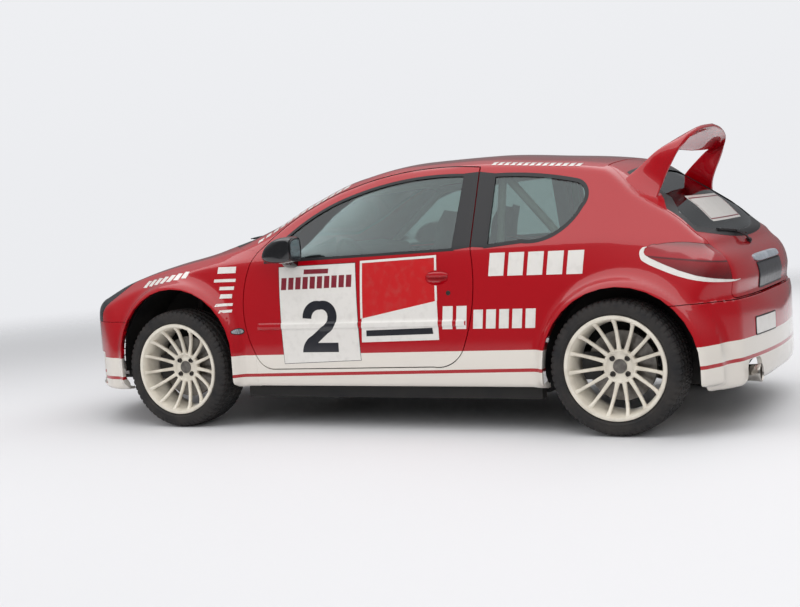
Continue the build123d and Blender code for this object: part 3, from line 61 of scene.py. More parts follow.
# The studio: a pale floor that fades into a white surround, under four soft boxes.
# The surround is bright only to the camera and in reflections, so the lamps set the light.
class Wire:
    """A socket in a finish's nodes. Sums, products and comparisons on it add Math nodes."""

    def __init__(self, tree, socket=None):
        self.tree = tree
        self.socket = socket

    def node(self, kind, settings=None, sockets=None, output=0):
        """Adds any other node: its settings first, then the values or wires of its sockets."""
        made = self.tree.nodes.new("ShaderNode" + kind)
        for name, value in (settings or {}).items():
            if name == "stops":
                ramp = made.color_ramp.elements
                while len(ramp) < len(value):
                    ramp.new(1)
                for stop, (place, tint) in zip(ramp, value):
                    stop.position = place
                    stop.color = tint
            else:
                setattr(made, name, value)
        for name, value in (sockets or {}).items():
            if isinstance(value, Wire):
                self.tree.links.new(value.socket, made.inputs[name])
            else:
                made.inputs[name].default_value = value
        return Wire(self.tree, made.outputs[output])

    def maths(self, operation, *values):
        """One Math node on some values or wires."""
        return self.node("Math", {"operation": operation}, dict(enumerate(values)))

    def __add__(self, other):
        return self.maths("ADD", self, other)

    __radd__ = __add__

    def __sub__(self, other):
        return self.maths("SUBTRACT", self, other)

    def __rsub__(self, other):
        return self.maths("SUBTRACT", other, self)

    def __mul__(self, other):
        return self.maths("MULTIPLY", self, other)

    __rmul__ = __mul__

    def __gt__(self, other):
        return self.maths("GREATER_THAN", self, other)

    def __lt__(self, other):
        return self.maths("LESS_THAN", self, other)

    def close(self, kind="OutputMaterial"):
        """Ends the nodes with this shader as their surface."""
        end = self.tree.nodes.new("ShaderNode" + kind)
        self.tree.links.new(self.socket, end.inputs["Surface"])

    def axes(self):
        """The three numbers of a vector."""
        return [self.node("SeparateXYZ", None, {0: self}, axis) for axis in range(3)]

    def blend(self, first, second):
        """A colour between two, by this wire."""
        return self.node("Mix", {"data_type": "RGBA"}, {0: self, 6: first, 7: second}, 2)


def tint(red, green, blue):
    """A colour as a screen shows it, 0 to 255, in the light that shaders count in."""
    return (*[((c / 255 + 0.055) / 1.055) ** 2.4 if c > 10 else c / 3294.6
              for c in (red, green, blue)], 1)


def new_finish(name):
    """An empty material and a wire to hang its nodes on."""
    material = bpy.data.materials.new(name)
    material.use_nodes = True
    material.node_tree.nodes.clear()
    return material, Wire(material.node_tree)


def polish(wires, **sockets):
    """Closes a finish with one Principled shader; a socket's spaces are underscores here."""
    wires.node("BsdfPrincipled", None, {
        name.replace("_", " "): value for name, value in sockets.items()}).close()


def plain_object(name, mesh):
    """An object in the scene for a mesh or a lamp."""
    made = bpy.data.objects.new(name, mesh)
    bpy.context.scene.collection.objects.link(made)
    return made


FLOOR_REACH = 26.0
floor_mesh = bpy.data.meshes.new("floor")
rings = [0.0, 3.0, 6.0, 10.0, 16.0, FLOOR_REACH]
turns = 64
floor_points = [(reach * cos(2 * pi * k / turns), reach * sin(2 * pi * k / turns), 0)
                for reach in rings[1:] for k in range(turns)]
floor_faces = [tuple(range(turns))]
for ring in range(len(rings) - 2):
    for k in range(turns):
        here, there = ring * turns + k, ring * turns + (k + 1) % turns
        floor_faces.append((here, here + turns, there + turns, there))
floor_mesh.from_pydata(floor_points, [], floor_faces)
floor = plain_object("studio_floor", floor_mesh)
floor_finish, wires = new_finish("studio_floor")
spot = wires.node("TexCoord", output=3)
reach = wires.node("VectorMath", {"operation": "LENGTH"}, {0: spot}, 1)
fade = wires.node("MapRange", {"interpolation_type": "SMOOTHSTEP"},
                  {0: reach, 1: 4.0, 2: 11.0})
cloth = wires.node("BsdfPrincipled", None, {
    "Base Color": tint(226, 226, 228), "Roughness": 0.62, "Specular IOR Level": 0.25})
wires.node("MixShader", None, {0: fade, 1: cloth, 2: wires.node("BsdfTransparent")}).close()
floor_mesh.materials.append(floor_finish)

world = bpy.data.worlds.new("studio")
bpy.context.scene.world = world
world.use_nodes = True
world.node_tree.nodes.clear()
sky = Wire(world.node_tree)
height = sky.node("TexCoord", output=0).axes()[2]
glow = sky.node("ValToRGB", {"stops": [
    (0.3, tint(232, 233, 236)), (0.52, tint(236, 237, 240)), (0.8, tint(246, 247, 250))]},
    {0: height * 0.5 + 0.5})
to_camera = sky.node("LightPath", output=0)
in_gloss = sky.node("LightPath", output=3)
through = sky.node("LightPath", output=6)
overhead = sky.node("MapRange", {"interpolation_type": "SMOOTHSTEP"},
                    {0: height, 1: 0.05, 2: 0.75, 3: 0.16, 4: 0.62})
shown = to_camera + in_gloss * overhead + through
strength = sky.maths("MAXIMUM", sky.maths("MINIMUM", shown, 1.0), 0.22)
sky.node("Background", None, {0: glow, 1: strength}).close("OutputWorld")
SOFT_BOXES = [
    ("overhead", (0.5, 0.3, 5.2), (0, 0, 0.4), (12.0, 9.0), 470),
    ("near_side", (6.5, 5.5, 3.6), (0, 0.2, 0.7), (6.0, 4.2), 230),
    ("nose_side", (5.0, -6.0, 3.0), (0, -0.6, 0.6), (5.0, 3.8), 160),
    ("far_side", (-6.5, 1.5, 3.6), (0, 0, 0.6), (7.0, 4.2), 160),
]
for name, place, target, size, power in SOFT_BOXES:
    lamp = bpy.data.lights.new(name, "AREA")
    lamp.shape = "RECTANGLE"
    lamp.size, lamp.size_y = size
    lamp.energy = power
    box = plain_object(name, lamp)
    box.location = place
    box.visible_glossy = name == "overhead"
    box.rotation_euler = (Vector(target) - Vector(place)).to_track_quat("-Z", "Y").to_euler()


# The skin: one smooth closed form, given by sections across the car, from which every steel
# panel, lamp and pane is cut, so that neighbouring edges line up. Drawn in millimetres.
def front(aft):
    """Y of what lies aft of the front axle."""
    return aft - 1057.5


def rear(aft):
    """Y of what lies aft of the rear axle."""
    return aft + 1410.5


NOSE_Y, TAIL_Y = front(-945), rear(592)
# Y, then half width and height of the sill, flank, belt, rail and roof's edge, then the crown
STATIONS = np.array([
    (front(-1100), 840, 198, 850, 400, 790, 520, 700, 548, 560, 560, 572),
    (front(-675), 840, 198, 850, 420, 790, 600, 690, 665, 560, 690, 712),
    (front(-395), 838, 200, 850, 450, 795, 710, 700, 782, 560, 808, 832),
    (front(-145), 836, 205, 845, 480, 795, 785, 702, 848, 560, 872, 893),
    (front(105), 835, 215, 838, 500, 795, 843, 706, 895, 560, 922, 942),
    (front(245), 835, 222, 836, 520, 793, 865, 712, 917, 560, 960, 988),
    (front(505), 835, 222, 835, 540, 790, 882, 705, 980, 640, 1022, 1108),
    (front(755), 835, 222, 833, 560, 788, 885, 650, 1122, 585, 1157, 1218),
    (front(1005), 835, 222, 832, 560, 790, 887, 612, 1228, 535, 1262, 1308),
    (front(1305), 835, 222, 832, 560, 792, 890, 600, 1292, 518, 1318, 1350),
    (front(1655), 835, 222, 832, 560, 790, 895, 598, 1304, 512, 1326, 1355),
    (rear(-462), 836, 222, 834, 560, 785, 903, 590, 1284, 502, 1304, 1330),
    (rear(-112), 838, 222, 836, 560, 770, 908, 577, 1240, 492, 1266, 1292),
    (rear(58), 840, 218, 838, 560, 758, 900, 620, 1108, 520, 1152, 1212),
    (rear(258), 840, 206, 836, 560, 742, 872, 660, 985, 560, 1022, 1066),
    (rear(380), 838, 198, 833, 540, 735, 830, 690, 888, 590, 910, 938),
    (rear(520), 835, 198, 828, 500, 735, 770, 695, 815, 590, 832, 850),
    (rear(700), 832, 198, 825, 480, 735, 740, 700, 780, 590, 800, 815)])
SPINE_Z = 420.0
STEP_Y, STEP_TURN = 6.0, radians(0.5)
table_y = np.arange(STATIONS[0, 0], STATIONS[-1, 0], STEP_Y)
table_turn = np.arange(-pi / 2, pi / 2 + STEP_TURN / 2, STEP_TURN)


def eased(places, rows, at):
    """Rows of numbers read between their places on smooth curves that never overshoot."""
    steps = np.diff(places)[:, None]
    slopes = np.diff(rows, axis=0) / steps
    ahead, behind = slopes[:-1], slopes[1:]
    total = ahead + behind
    inner = np.where(ahead * behind > 0, 2 * ahead * behind / np.where(total == 0, 1, total), 0)
    tangents = np.vstack([slopes[:1], inner, slopes[-1:]])
    row = np.clip(np.searchsorted(places, at, side="right") - 1, 0, len(steps) - 1)
    t = ((at - places[row]) / steps[row, 0])[:, None]
    return ((1 + 2 * t) * (1 - t) ** 2 * rows[row] + t * (1 - t) ** 2 * steps[row] * tangents[row]
            + t * t * (3 - 2 * t) * rows[row + 1]
            + t * t * (t - 1) * steps[row] * tangents[row + 1])


def arc(first, middle, last, count=16):
    """Points on the circle through three points, from the first to the last."""
    (ax, ay), (bx, by), (cx, cy) = first, middle, last
    twice = 2 * (ax * (by - cy) + bx * (cy - ay) + cx * (ay - by))
    a2, b2, c2 = ax * ax + ay * ay, bx * bx + by * by, cx * cx + cy * cy
    ox = (a2 * (by - cy) + b2 * (cy - ay) + c2 * (ay - by)) / twice
    oy = (a2 * (cx - bx) + b2 * (ax - cx) + c2 * (bx - ax)) / twice
    begin = atan2(ay - oy, ax - ox)
    halfway = (atan2(by - oy, bx - ox) - begin) % (2 * pi)
    sweep = (atan2(cy - oy, cx - ox) - begin) % (2 * pi)
    if halfway > sweep:
        sweep -= 2 * pi
    radius = hypot(ax - ox, ay - oy)
    return [(ox + radius * cos(begin + sweep * k / count),
             oy + radius * sin(begin + sweep * k / count))
            for k in range(count + 1)]


def section_reach(row):
    """How far one section's outline lies from the spine, at each turn round it."""
    xs, zs, xf, zf, xb, zb, xr, zr, xe, ze, top = row
    outline = np.array([(0, zs)] + arc((xs, zs), (xf, zf), (xb, zb)) + [(xr, zr)]
                       + arc((xe, ze), (0, top), (-xe, ze))[:9])
    lengths = np.r_[0, np.cumsum(np.hypot(*np.diff(outline, axis=0).T))]
    even = np.linspace(0, lengths[-1], 260)
    half = np.column_stack([np.interp(even, lengths, outline[:, k]) for k in (0, 1)])
    loop = np.vstack([half, (half * (-1, 1))[-2:0:-1]])
    weights = np.exp(-(np.arange(-5, 6) / 1.6) ** 2 / 2)
    soft = sum(w * np.roll(loop, k - 5, axis=0) for k, w in enumerate(weights))
    soft = soft[:260] / weights.sum()
    return np.interp(table_turn, np.arctan2(soft[:, 1] - SPINE_Z, soft[:, 0]),
                     np.hypot(soft[:, 0], soft[:, 1] - SPINE_Z))


table_reach = np.array([
    section_reach(row) for row in eased(STATIONS[:, 0], STATIONS[:, 1:], table_y)])
by_y, by_turn = np.gradient(table_reach, STEP_Y, STEP_TURN)
table_slant = 1 / np.sqrt(1 + (by_turn / table_reach) ** 2 + by_y ** 2)

# The nose and tail in plan, by distance from the middle, and in side view, by height
plan_x = np.arange(0, 1000, 5.0)
nose_plan = np.array(arc((-610, 240), (0, 0), (610, 240), 40)[20:]
                     + arc((610, 240), (775, 385), (900, 700))[1:] + [(1000, 1100)])
tail_plan = np.array(arc((-610, 62), (0, 0), (610, 62), 40)[20:]
                     + arc((610, 62), (755, 165), (900, 420))[1:] + [(1000, 800)])
nose_side = np.array([(0, 0)] + arc((480, 0), (585, 22), (670, 110)) + [(2000, 112)])
tail_side = np.array([(0, 55), (280, 0), (480, 0)] + arc((480.1, 0), (560, 12), (612, 38))
                     + [(680, 42)] + arc((680.1, 42), (775, 70), (850, 150)) + [(2000, 152)])


def softened(curve, at):
    """A curve's values and slopes, with its corners eased."""
    values = np.interp(at, curve[:, 0], curve[:, 1])
    padded = np.r_[values[4:0:-1], values, values[-2:-6:-1]]
    values = np.convolve(padded, np.full(9, 1 / 9), "valid")
    return values, np.gradient(values, at)


side_z = np.arange(0, 2000, 5.0)
NOSE_PLAN, TAIL_PLAN = softened(nose_plan, plan_x), softened(tail_plan, plan_x)
NOSE_SIDE, TAIL_SIDE = softened(nose_side, side_z), softened(tail_side, side_z)
EDGE_EASE, FLARE_EASE = 34.0, 30.0
# Each wheel arch: its centre and radius; the flare stands out to the same width on all four
FRONT_ARCH, REAR_ARCH = (front(6), 390, 366), (rear(26), 322, 376)
FLARE_X, FLARE_BAND, FLARE_ROOT, FLARE_SLOPE, FLARE_BOTTOM = 885.0, 14.0, 74.0, 2.1, 232.0
# The steel above the rear bumper lies back a little, so the bumper's top shows as a ledge
LEDGE_START, LEDGE_FOOT, LEDGE_TOP, LEDGE = rear(330), 600.0, 705.0, 11.0


def joined(first, second, ease):
    """The larger of two distances, rounded where they meet."""
    near = np.maximum(ease - np.abs(first - second), 0) / ease
    return np.maximum(first, second) + near * near * ease / 4


def form(x, y, z):
    """How far a point lies outside the skin; negative inside."""
    x = np.abs(x)
    reach = np.hypot(x, z - SPINE_Z)
    row = np.clip((y - table_y[0]) / STEP_Y, 0, len(table_y) - 1.001)
    column = np.clip((np.arctan2(z - SPINE_Z, x) + pi / 2) / STEP_TURN, 0, len(table_turn) - 1.001)
    i, j = row.astype(int), column.astype(int)
    u, v = row - i, column - j
    weigh = ((1 - u) * (1 - v), u * (1 - v), (1 - u) * v, u * v)
    corners = ((i, j), (i + 1, j), (i, j + 1), (i + 1, j + 1))
    skin_reach = sum(w * table_reach[c] for w, c in zip(weigh, corners))
    slant = sum(w * table_slant[c] for w, c in zip(weigh, corners))
    out = (reach - skin_reach) * slant
    for plan, side, end_y, way in ((NOSE_PLAN, NOSE_SIDE, NOSE_Y, -1),
                                   (TAIL_PLAN, TAIL_SIDE, TAIL_Y, 1)):
        in_plan, plan_slope = [np.interp(x, plan_x, row) for row in plan]
        in_side, side_slope = [np.interp(z, side_z, row) for row in side]
        limit = np.hypot(in_plan, in_side)
        share = 1 / np.maximum(limit, 1)
        lean = np.sqrt(1 + (plan_slope * in_plan * share) ** 2
                       + (side_slope * in_side * share) ** 2)
        out = joined(out, (way * (y - end_y) + limit) / lean, EDGE_EASE)
    for centre_y, centre_z, radius in (FRONT_ARCH, REAR_ARCH):
        span = np.where(z > centre_z, np.hypot(y - centre_y, z - centre_z), np.abs(y - centre_y))
        taper = ((x - FLARE_X + FLARE_SLOPE * (span - radius - FLARE_BAND))
                 / sqrt(1 + FLARE_SLOPE ** 2))
        lip = joined(joined(x - FLARE_X, taper, FLARE_EASE), FLARE_BOTTOM - z, FLARE_EASE)
        lip = np.maximum(lip, span - radius - FLARE_ROOT)
        out = -joined(-out, -lip, FLARE_EASE)
    over_bumper = (np.clip((z - LEDGE_FOOT) / 8, 0, 1) * np.clip((LEDGE_TOP - z) / 90, 0, 1)
                   * np.clip((y - LEDGE_START) / 130, 0, 1))
    return out + LEDGE * over_bumper * over_bumper * (3 - 2 * over_bumper)


SPINE_START, SPINE_END, FAN = front(-100), rear(-100), 900.0
STRETCH = (SPINE_START - FAN * pi / 2, SPINE_END + FAN * pi / 2)


def halved(at, inside, outside, level, rounds):
    """Closes in on the form's level between places inside it and places outside it."""
    for _ in range(rounds):
        middle = (inside + outside) / 2
        past = form(*at(middle)) > level
        inside, outside = np.where(past, inside, middle), np.where(past, middle, outside)
    return inside, outside


def cast(along, turn, level):
    """Points of the form's level, met by rays from the spine that fan out at both ends."""
    lean = (np.clip((SPINE_START - along) / FAN, 0, pi / 2)
            - np.clip((along - SPINE_END) / FAN, 0, pi / 2))
    start_y = np.clip(along, SPINE_START, SPINE_END)
    way = (np.cos(turn) * np.cos(lean), -np.sin(lean), np.sin(turn) * np.cos(lean))

    def at(t):
        return way[0] * t, start_y + way[1] * t, SPINE_Z + way[2] * t

    near, far = halved(at, np.zeros_like(along), np.full_like(along, 1700.0), level, 13)
    low, high = form(*at(near)) - level, form(*at(far)) - level
    t = near + (far - near) * np.clip(-low / np.where(high == low, 1, high - low), 0, 1)
    return np.stack(at(t), axis=-1)


def outward(points):
    """The form's outward direction at each point."""
    slopes = [form(*(points + offset).T) - form(*(points - offset).T)
              for offset in np.eye(3) * 4.0]
    slopes = np.stack(slopes, axis=-1)
    return slopes / np.maximum(np.linalg.norm(slopes, axis=-1, keepdims=True), 1e-9)


scan_along, scan_turn = np.meshgrid(np.linspace(*STRETCH, 110), np.arange(-90, 270, 3) * pi / 180,
                                    indexing="ij")
scan = cast(scan_along, scan_turn, 0.0)


def solid_mesh(points, faces, weld=0.0):
    """A mesh whose faces look outwards, with points closer than the weld made one."""
    mesh = bpy.data.meshes.new("piece")
    mesh.from_pydata(points, [], faces)
    solid = bmesh.new()
    solid.from_mesh(mesh)
    if weld:
        bmesh.ops.remove_doubles(solid, verts=solid.verts, dist=weld)
    bmesh.ops.recalc_face_normals(solid, faces=solid.faces)
    solid.to_mesh(mesh)
    solid.free()
    return mesh


def slab(low, high, outer, inner, spacing=20.0):
    """A closed piece of skin over a box, from one level of the form to a deeper one."""
    inside = np.all((scan > np.array(low) - 70) & (scan < np.array(high) + 70), axis=-1)
    rows, columns = np.nonzero(inside.any(1))[0], np.nonzero(inside.any(0))[0]
    first, last = max(rows[0] - 1, 0), min(rows[-1] + 1, len(scan) - 1)
    begin, end = scan_along[first, 0], scan_along[last, 0]
    along = np.linspace(begin, end, int(ceil((end - begin) / spacing)) + 1)
    step = spacing / FAN
    gaps = np.diff(columns)
    ring = len(columns) > 108 and (len(gaps) == 0 or gaps.max() < 4)
    if ring:
        turn = np.linspace(-pi / 2, 3 * pi / 2, int(ceil(2 * pi / step)) + 1)[:-1]
    else:
        left, right = scan_turn[0, columns[0]] - 0.06, scan_turn[0, columns[-1]] + 0.06
        turn = np.linspace(left, right, int(ceil((right - left) / step)) + 1)
    grid = np.meshgrid(along, turn, indexing="ij")
    points = np.vstack([cast(*grid, depth).reshape(-1, 3) for depth in (outer, inner)])
    rows, columns = len(along), len(turn)
    cells = columns if ring else columns - 1
    faces = []
    below = rows * columns
    for i in range(rows - 1):
        for j in range(cells):
            a, b = i * columns + j, i * columns + (j + 1) % columns
            faces += [(a, b, b + columns, a + columns),
                      (below + a + columns, below + b + columns, below + b, below + a)]
    for i, flip in ((0, False), (rows - 1, True)):
        if STRETCH[0] < along[i] < STRETCH[1]:
            for j in range(cells):
                a, b = i * columns + j, i * columns + (j + 1) % columns
                wall = (below + a, below + b, b, a)
                faces.append(wall[::-1] if flip else wall)
    if not ring:
        for i in range(rows - 1):
            for j, flip in ((0, True), (columns - 1, False)):
                a, b = i * columns + j, (i + 1) * columns + j
                wall = (below + a, below + b, b, a)
                faces.append(wall[::-1] if flip else wall)
    return solid_mesh(points.tolist(), faces, 0.01)


def prism(outline, axis, start, stop):
    """A cutter: an outline seen along an axis, drawn out between two places on it."""
    order = {"x": lambda a, b, d: (d, a, b), "y": lambda a, b, d: (a, d, b),
             "z": lambda a, b, d: (a, b, d)}[axis]
    count = len(outline)
    points = [order(a, b, d) for d in (start, stop) for a, b in outline]
    faces = [tuple(range(count)), tuple(range(2 * count - 1, count - 1, -1))]
    faces += [(k, (k + 1) % count, count + (k + 1) % count, count + k) for k in range(count)]
    return solid_mesh(points, faces, 0.001)


def box_outline(first, last):
    """A box's outline from two opposite corners."""
    return [(first[0], first[1]), (last[0], first[1]), (last[0], last[1]), (first[0], last[1])]


def block(low, high):
    """A box-shaped cutter or bar between two corners."""
    return prism(box_outline(low, high), "z", low[2], high[2])


def points_of(mesh):
    """A mesh's points, as rows."""
    points = np.empty(len(mesh.vertices) * 3)
    mesh.vertices.foreach_get("co", points)
    return points.reshape(-1, 3)


def measured(mesh):
    """A closed piece's volume, lowest and highest corners."""
    if not mesh.vertices:
        return 0.0, np.zeros(3), np.zeros(3)
    solid = bmesh.new()
    solid.from_mesh(mesh)
    volume = abs(solid.calc_volume())
    solid.free()
    points = points_of(mesh)
    return volume, points.min(axis=0), points.max(axis=0)


def outcome(work):
    """The mesh that an object's modifiers give."""
    return bpy.data.meshes.new_from_object(
        work.evaluated_get(bpy.context.evaluated_depsgraph_get()))


def cut(mesh, keep=(), away=()):
    """What is left of a piece inside some cutters and outside others. Where a cutter's face lies
    too close to the piece's own for a clean cut, it moves aside by a few hundredths."""
    for operation, cutters in (("INTERSECT", keep), ("DIFFERENCE", away)):
        for cutter in cutters:
            volume, low, high = measured(mesh)
            for nudge in range(6):
                work, tool = plain_object("work", mesh), plain_object("tool", cutter)
                tool.location = Vector((0.037, 0.053, 0.029)) * nudge * (-1) ** nudge
                step = work.modifiers.new("cut", "BOOLEAN")
                step.operation, step.solver, step.object = operation, "EXACT", tool
                bpy.context.view_layer.update()
                result = outcome(work)
                bpy.data.objects.remove(tool)
                bpy.data.objects.remove(work)
                left, left_low, left_high = measured(result)
                sound = 0.001 * volume < left < 1.001 * volume
                if sound and np.all(left_low > low - 1) and np.all(left_high < high + 1):
                    break
            mesh = result
    return mesh


def grown(outline, gap):
    """An outline moved out by a gap, or in where the gap is negative."""
    points = np.array(outline, float)
    points = points[np.hypot(*(points - np.roll(points, 1, axis=0)).T) > 0.01]
    run = np.roll(points, -1, axis=0) - points
    run /= np.hypot(*run.T)[:, None]
    area = np.sum(points[:, 0] * np.roll(points[:, 1], -1)
                  - points[:, 1] * np.roll(points[:, 0], -1))
    normal = np.column_stack([run[:, 1], -run[:, 0]]) * np.sign(area)
    mean = normal + np.roll(normal, 1, axis=0)
    mean /= np.maximum(np.sum(mean * normal, axis=1), 0.5)[:, None]
    return [tuple(p) for p in points + mean * gap]


def other_side(outline):
    """A half outline and its mirror image, as one closed outline."""
    return outline + [(-x, y) for x, y in reversed(outline) if x > 0.01]


def mirrored(mesh):
    """The same piece for the other side of the car."""
    twin = mesh.copy()
    twin.transform(Matrix.Scale(-1, 4, (1, 0, 0)))
    twin.flip_normals()
    return twin


def together(*meshes):
    """Several meshes as one."""
    whole = bmesh.new()
    for mesh in meshes:
        whole.from_mesh(mesh)
    result = bpy.data.meshes.new("whole")
    whole.to_mesh(result)
    whole.free()
    return result


def both(mesh):
    """A piece and its mirror image, as one mesh."""
    return together(mesh, mirrored(mesh))


SIDES = (("left", lambda mesh: mesh.copy()), ("right", mirrored))


def smooth_skin(mesh, levels):
    """Normals that shade the faces on the form as the form runs, and the cut edges flat."""
    points = points_of(mesh)
    height, ways = form(*points.T), outward(points)
    owner = np.empty(len(mesh.loops), int)
    mesh.loops.foreach_get("vertex_index", owner)
    flat = np.empty(len(mesh.polygons) * 3)
    mesh.polygons.foreach_get("normal", flat)
    sizes = np.empty(len(mesh.polygons), int)
    mesh.polygons.foreach_get("loop_total", sizes)
    face = np.repeat(flat.reshape(-1, 3), sizes, axis=0)
    normals = face.copy()
    for level in levels:
        lean = np.sum(face * ways[owner], axis=1)
        on_level = (np.abs(height[owner] - level) < 0.8) & (np.abs(lean) > 0.55)
        normals[on_level] = (ways[owner] * np.sign(lean)[:, None])[on_level]
    return normals


def place(name, mesh, finish, body, slot, *nodes, levels=None):
    """Puts a piece drawn in millimetres on the car, in its finish."""
    normals = None if levels is None else smooth_skin(mesh, levels)
    mesh.transform(Matrix.Scale(0.001, 4))
    if levels is not None:
        mesh.polygons.foreach_set("use_smooth", np.ones(len(mesh.polygons), bool))
        mesh.normals_split_custom_set(normals.tolist())
    mesh.name = name
    mesh.materials.clear()
    mesh.materials.append(finish)
    piece = plain_object(name, mesh)
    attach(piece, body)
    if nodes:
        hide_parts(*nodes)
    return piece


def traced(*runs):
    """An outline from runs of two points, which are straight, or of three, which are arcs."""
    points = []
    for run in runs:
        for point in (run if len(run) == 2 else arc(*run)):
            if not points or hypot(point[0] - points[-1][0], point[1] - points[-1][1]) > 0.01:
                points.append(point)
    closed = hypot(points[0][0] - points[-1][0], points[0][1] - points[-1][1]) < 0.01
    return points[:-1] if closed else points


def arch_outline(centre_y, centre_z, radius):
    """A wheel arch from the side, open to the road."""
    return traced(((centre_y - radius, 0), (centre_y + radius, 0)),
                  ((centre_y + radius, centre_z), (centre_y, centre_z + radius),
                   (centre_y - radius, centre_z)))


# The paint: deep crimson under clear lacquer, with a white band and a thin red stripe low down
# round the whole car. Fine orange peel in the lacquer; road film dulls it towards the sills.
CRIMSON, PAINT_WHITE = tint(164, 2, 18), tint(222, 216, 207)
crimson, wires = new_finish("crimson_lacquer")
spot = wires.node("TexCoord", output=3)
_, along_car, height = spot.axes()
band_top = along_car * 0.0113 + 0.3965
stripe_low = along_car * 0.0170 + 0.2850
white = (height < band_top) * (1 - (height > stripe_low) * (height < stripe_low + 0.017))
cloud = wires.node("TexNoise", None, {"Vector": spot, "Scale": 3.0, "Detail": 4.0})
film = wires.node("MapRange", None, {0: height + cloud * 0.16, 1: 0.5, 2: 0.2})
peel = wires.node("TexNoise", None, {"Vector": spot, "Scale": 420.0, "Detail": 1.0})
body_colour = white.blend(CRIMSON, PAINT_WHITE)
polish(wires, Base_Color=(film * 0.1).blend(body_colour, tint(104, 84, 74)),
       Roughness=film * 0.25 + 0.3, Specular_IOR_Level=0.12, Coat_Weight=1.0, Coat_Roughness=0.025,
       Normal=wires.node("Bump", None, {"Strength": 0.02, "Distance": 0.001, "Height": peel}))

# The doors: pressed steel shells on two hinges each, open above the waist for their glass.
# The right one is the left one's mirror image.
DOOR = traced(
    ((front(500), 923), (front(437), 700), (front(505), 390)),
    ((front(505), 390), (front(546), 338), (front(615), 318)),
    ((front(615), 318), (front(1535), 328)),
    ((front(1535), 328), (front(1646), 352), (front(1705), 432)),
    ((front(1705), 432), (front(1757), 660), (front(1745), 885)),
    ((front(1742), 905), (front(1742), 1290)),
    ((front(1742), 1290), (front(1400), 1298), (front(1020), 1230)),
    ((front(1020), 1230), (front(755), 1124), (front(500), 923)))
DOOR_WINDOW = traced(
    ((front(560), 870), (front(1656), 893)),
    ((front(1676), 1262), (front(1305), 1252), (front(971), 1175)),
    ((front(971), 1175), (front(754), 1068), (front(560), 900)))
SHUT_GAP, BONNET_GAP, GLASS_GAP, LAMP_GAP, WELD_GAP = 5.0, 4.0, 1.0, 1.5, 0.6
WIDE = 1200.0
door_low, door_high = (300, front(420), 300), (900, front(1770), 1320)
HANDLE_Y, HANDLE_Z = 513.0, 764.0


def egg(centre, radii, power=1.0, rows=32, columns=64):
    """A smooth closed lump; a power under one squares it off."""
    points = [(0.0, -radii[1], 0.0)]
    for row in range(1, rows):
        lean = -pi / 2 + pi * row / rows
        for column in range(columns):
            turn = 2 * pi * column / columns
            c, s = cos(turn), sin(turn)
            points.append((radii[0] * cos(lean) ** power * abs(c) ** power * (1 if c > 0 else -1),
                           radii[1] * abs(sin(lean)) ** power * (1 if lean > 0 else -1),
                           radii[2] * cos(lean) ** power * abs(s) ** power * (1 if s > 0 else -1)))
    points.append((0.0, radii[1], 0.0))
    faces = [(0, 1 + (k + 1) % columns, 1 + k) for k in range(columns)]
    for row in range(rows - 2):
        for k in range(columns):
            a, b = 1 + row * columns + k, 1 + row * columns + (k + 1) % columns
            faces.append((a, b, b + columns, a + columns))
    last, tip = 1 + (rows - 2) * columns, len(points) - 1
    faces += [(last + k, last + (k + 1) % columns, tip) for k in range(columns)]
    mesh = solid_mesh(points, faces)
    mesh.transform(Matrix.Translation(centre))
    return mesh


door_mesh = cut(slab(door_low, door_high, 0, -42, 16),
                keep=[prism(DOOR, "x", 300, WIDE)],
                away=[prism(DOOR_WINDOW, "x", 300, WIDE),
                      egg((820, HANDLE_Y, HANDLE_Z), (24, 64, 36))])
for side, twin in SIDES:
    place(f"door_skin_{side}", twin(door_mesh), crimson, f"{side}_door", "body", f"door_{side}",
          levels=(0, -42))

# The front wings: pressed steel with swollen arch lips, bolted to the inner wings.
FENDER = [(front(-640), 581), (front(-250), 581), (front(-250), 100), (front(500), 100),
          (front(500), 925), (front(470), 937), (front(245), 957), (front(245), 1200),
          (front(-640), 1200)]
bonnet_half = traced(((0, front(150)), (636, front(150))), ((636, front(150)), (626, front(-160))),
                     ((626, front(-160)), (590, front(-430)), (500, front(-650))),
                     ((500, front(-650)), (425, NOSE_Y + 152)),
                     ((425, NOSE_Y + 152), (240, NOSE_Y + 86), (0, NOSE_Y + 58)))
BONNET = other_side(bonnet_half)
COWL = box_outline((-640, front(156)), (640, front(300)))
HEADLAMP = traced(((668, front(-330)), (738, front(-420)), (780, front(-560))),
                  ((850, front(-700)), (850, front(-900))),
                  ((400, front(-900)), (400, front(-650))))
WINDSCREEN = traced(((-634, 958), (0, 975), (634, 958)), ((508, 1262), (0, 1310), (-508, 1262)))
fender_mesh = cut(
    slab((300, front(-660), 180), (900, front(520), 1000), 0, -16, 14),
    keep=[prism(FENDER, "x", 250, WIDE)],
    away=[prism(arch_outline(*FRONT_ARCH), "x", 200, WIDE),
          prism(grown(DOOR, SHUT_GAP), "x", 200, WIDE),
          prism(grown(BONNET, BONNET_GAP), "z", 300, 1500),
          prism(grown(COWL, WELD_GAP), "z", 300, 1500),
          prism(grown(HEADLAMP, LAMP_GAP), "z", 579, 1500),
          prism(grown(WINDSCREEN, GLASS_GAP), "y", front(100), front(800)),
          block((-10, front(-300), 0), (770, front(520), 262))])
place("front_wings", both(fender_mesh), crimson, "chassis", "body",
      "front_fenders", levels=(0, -16))

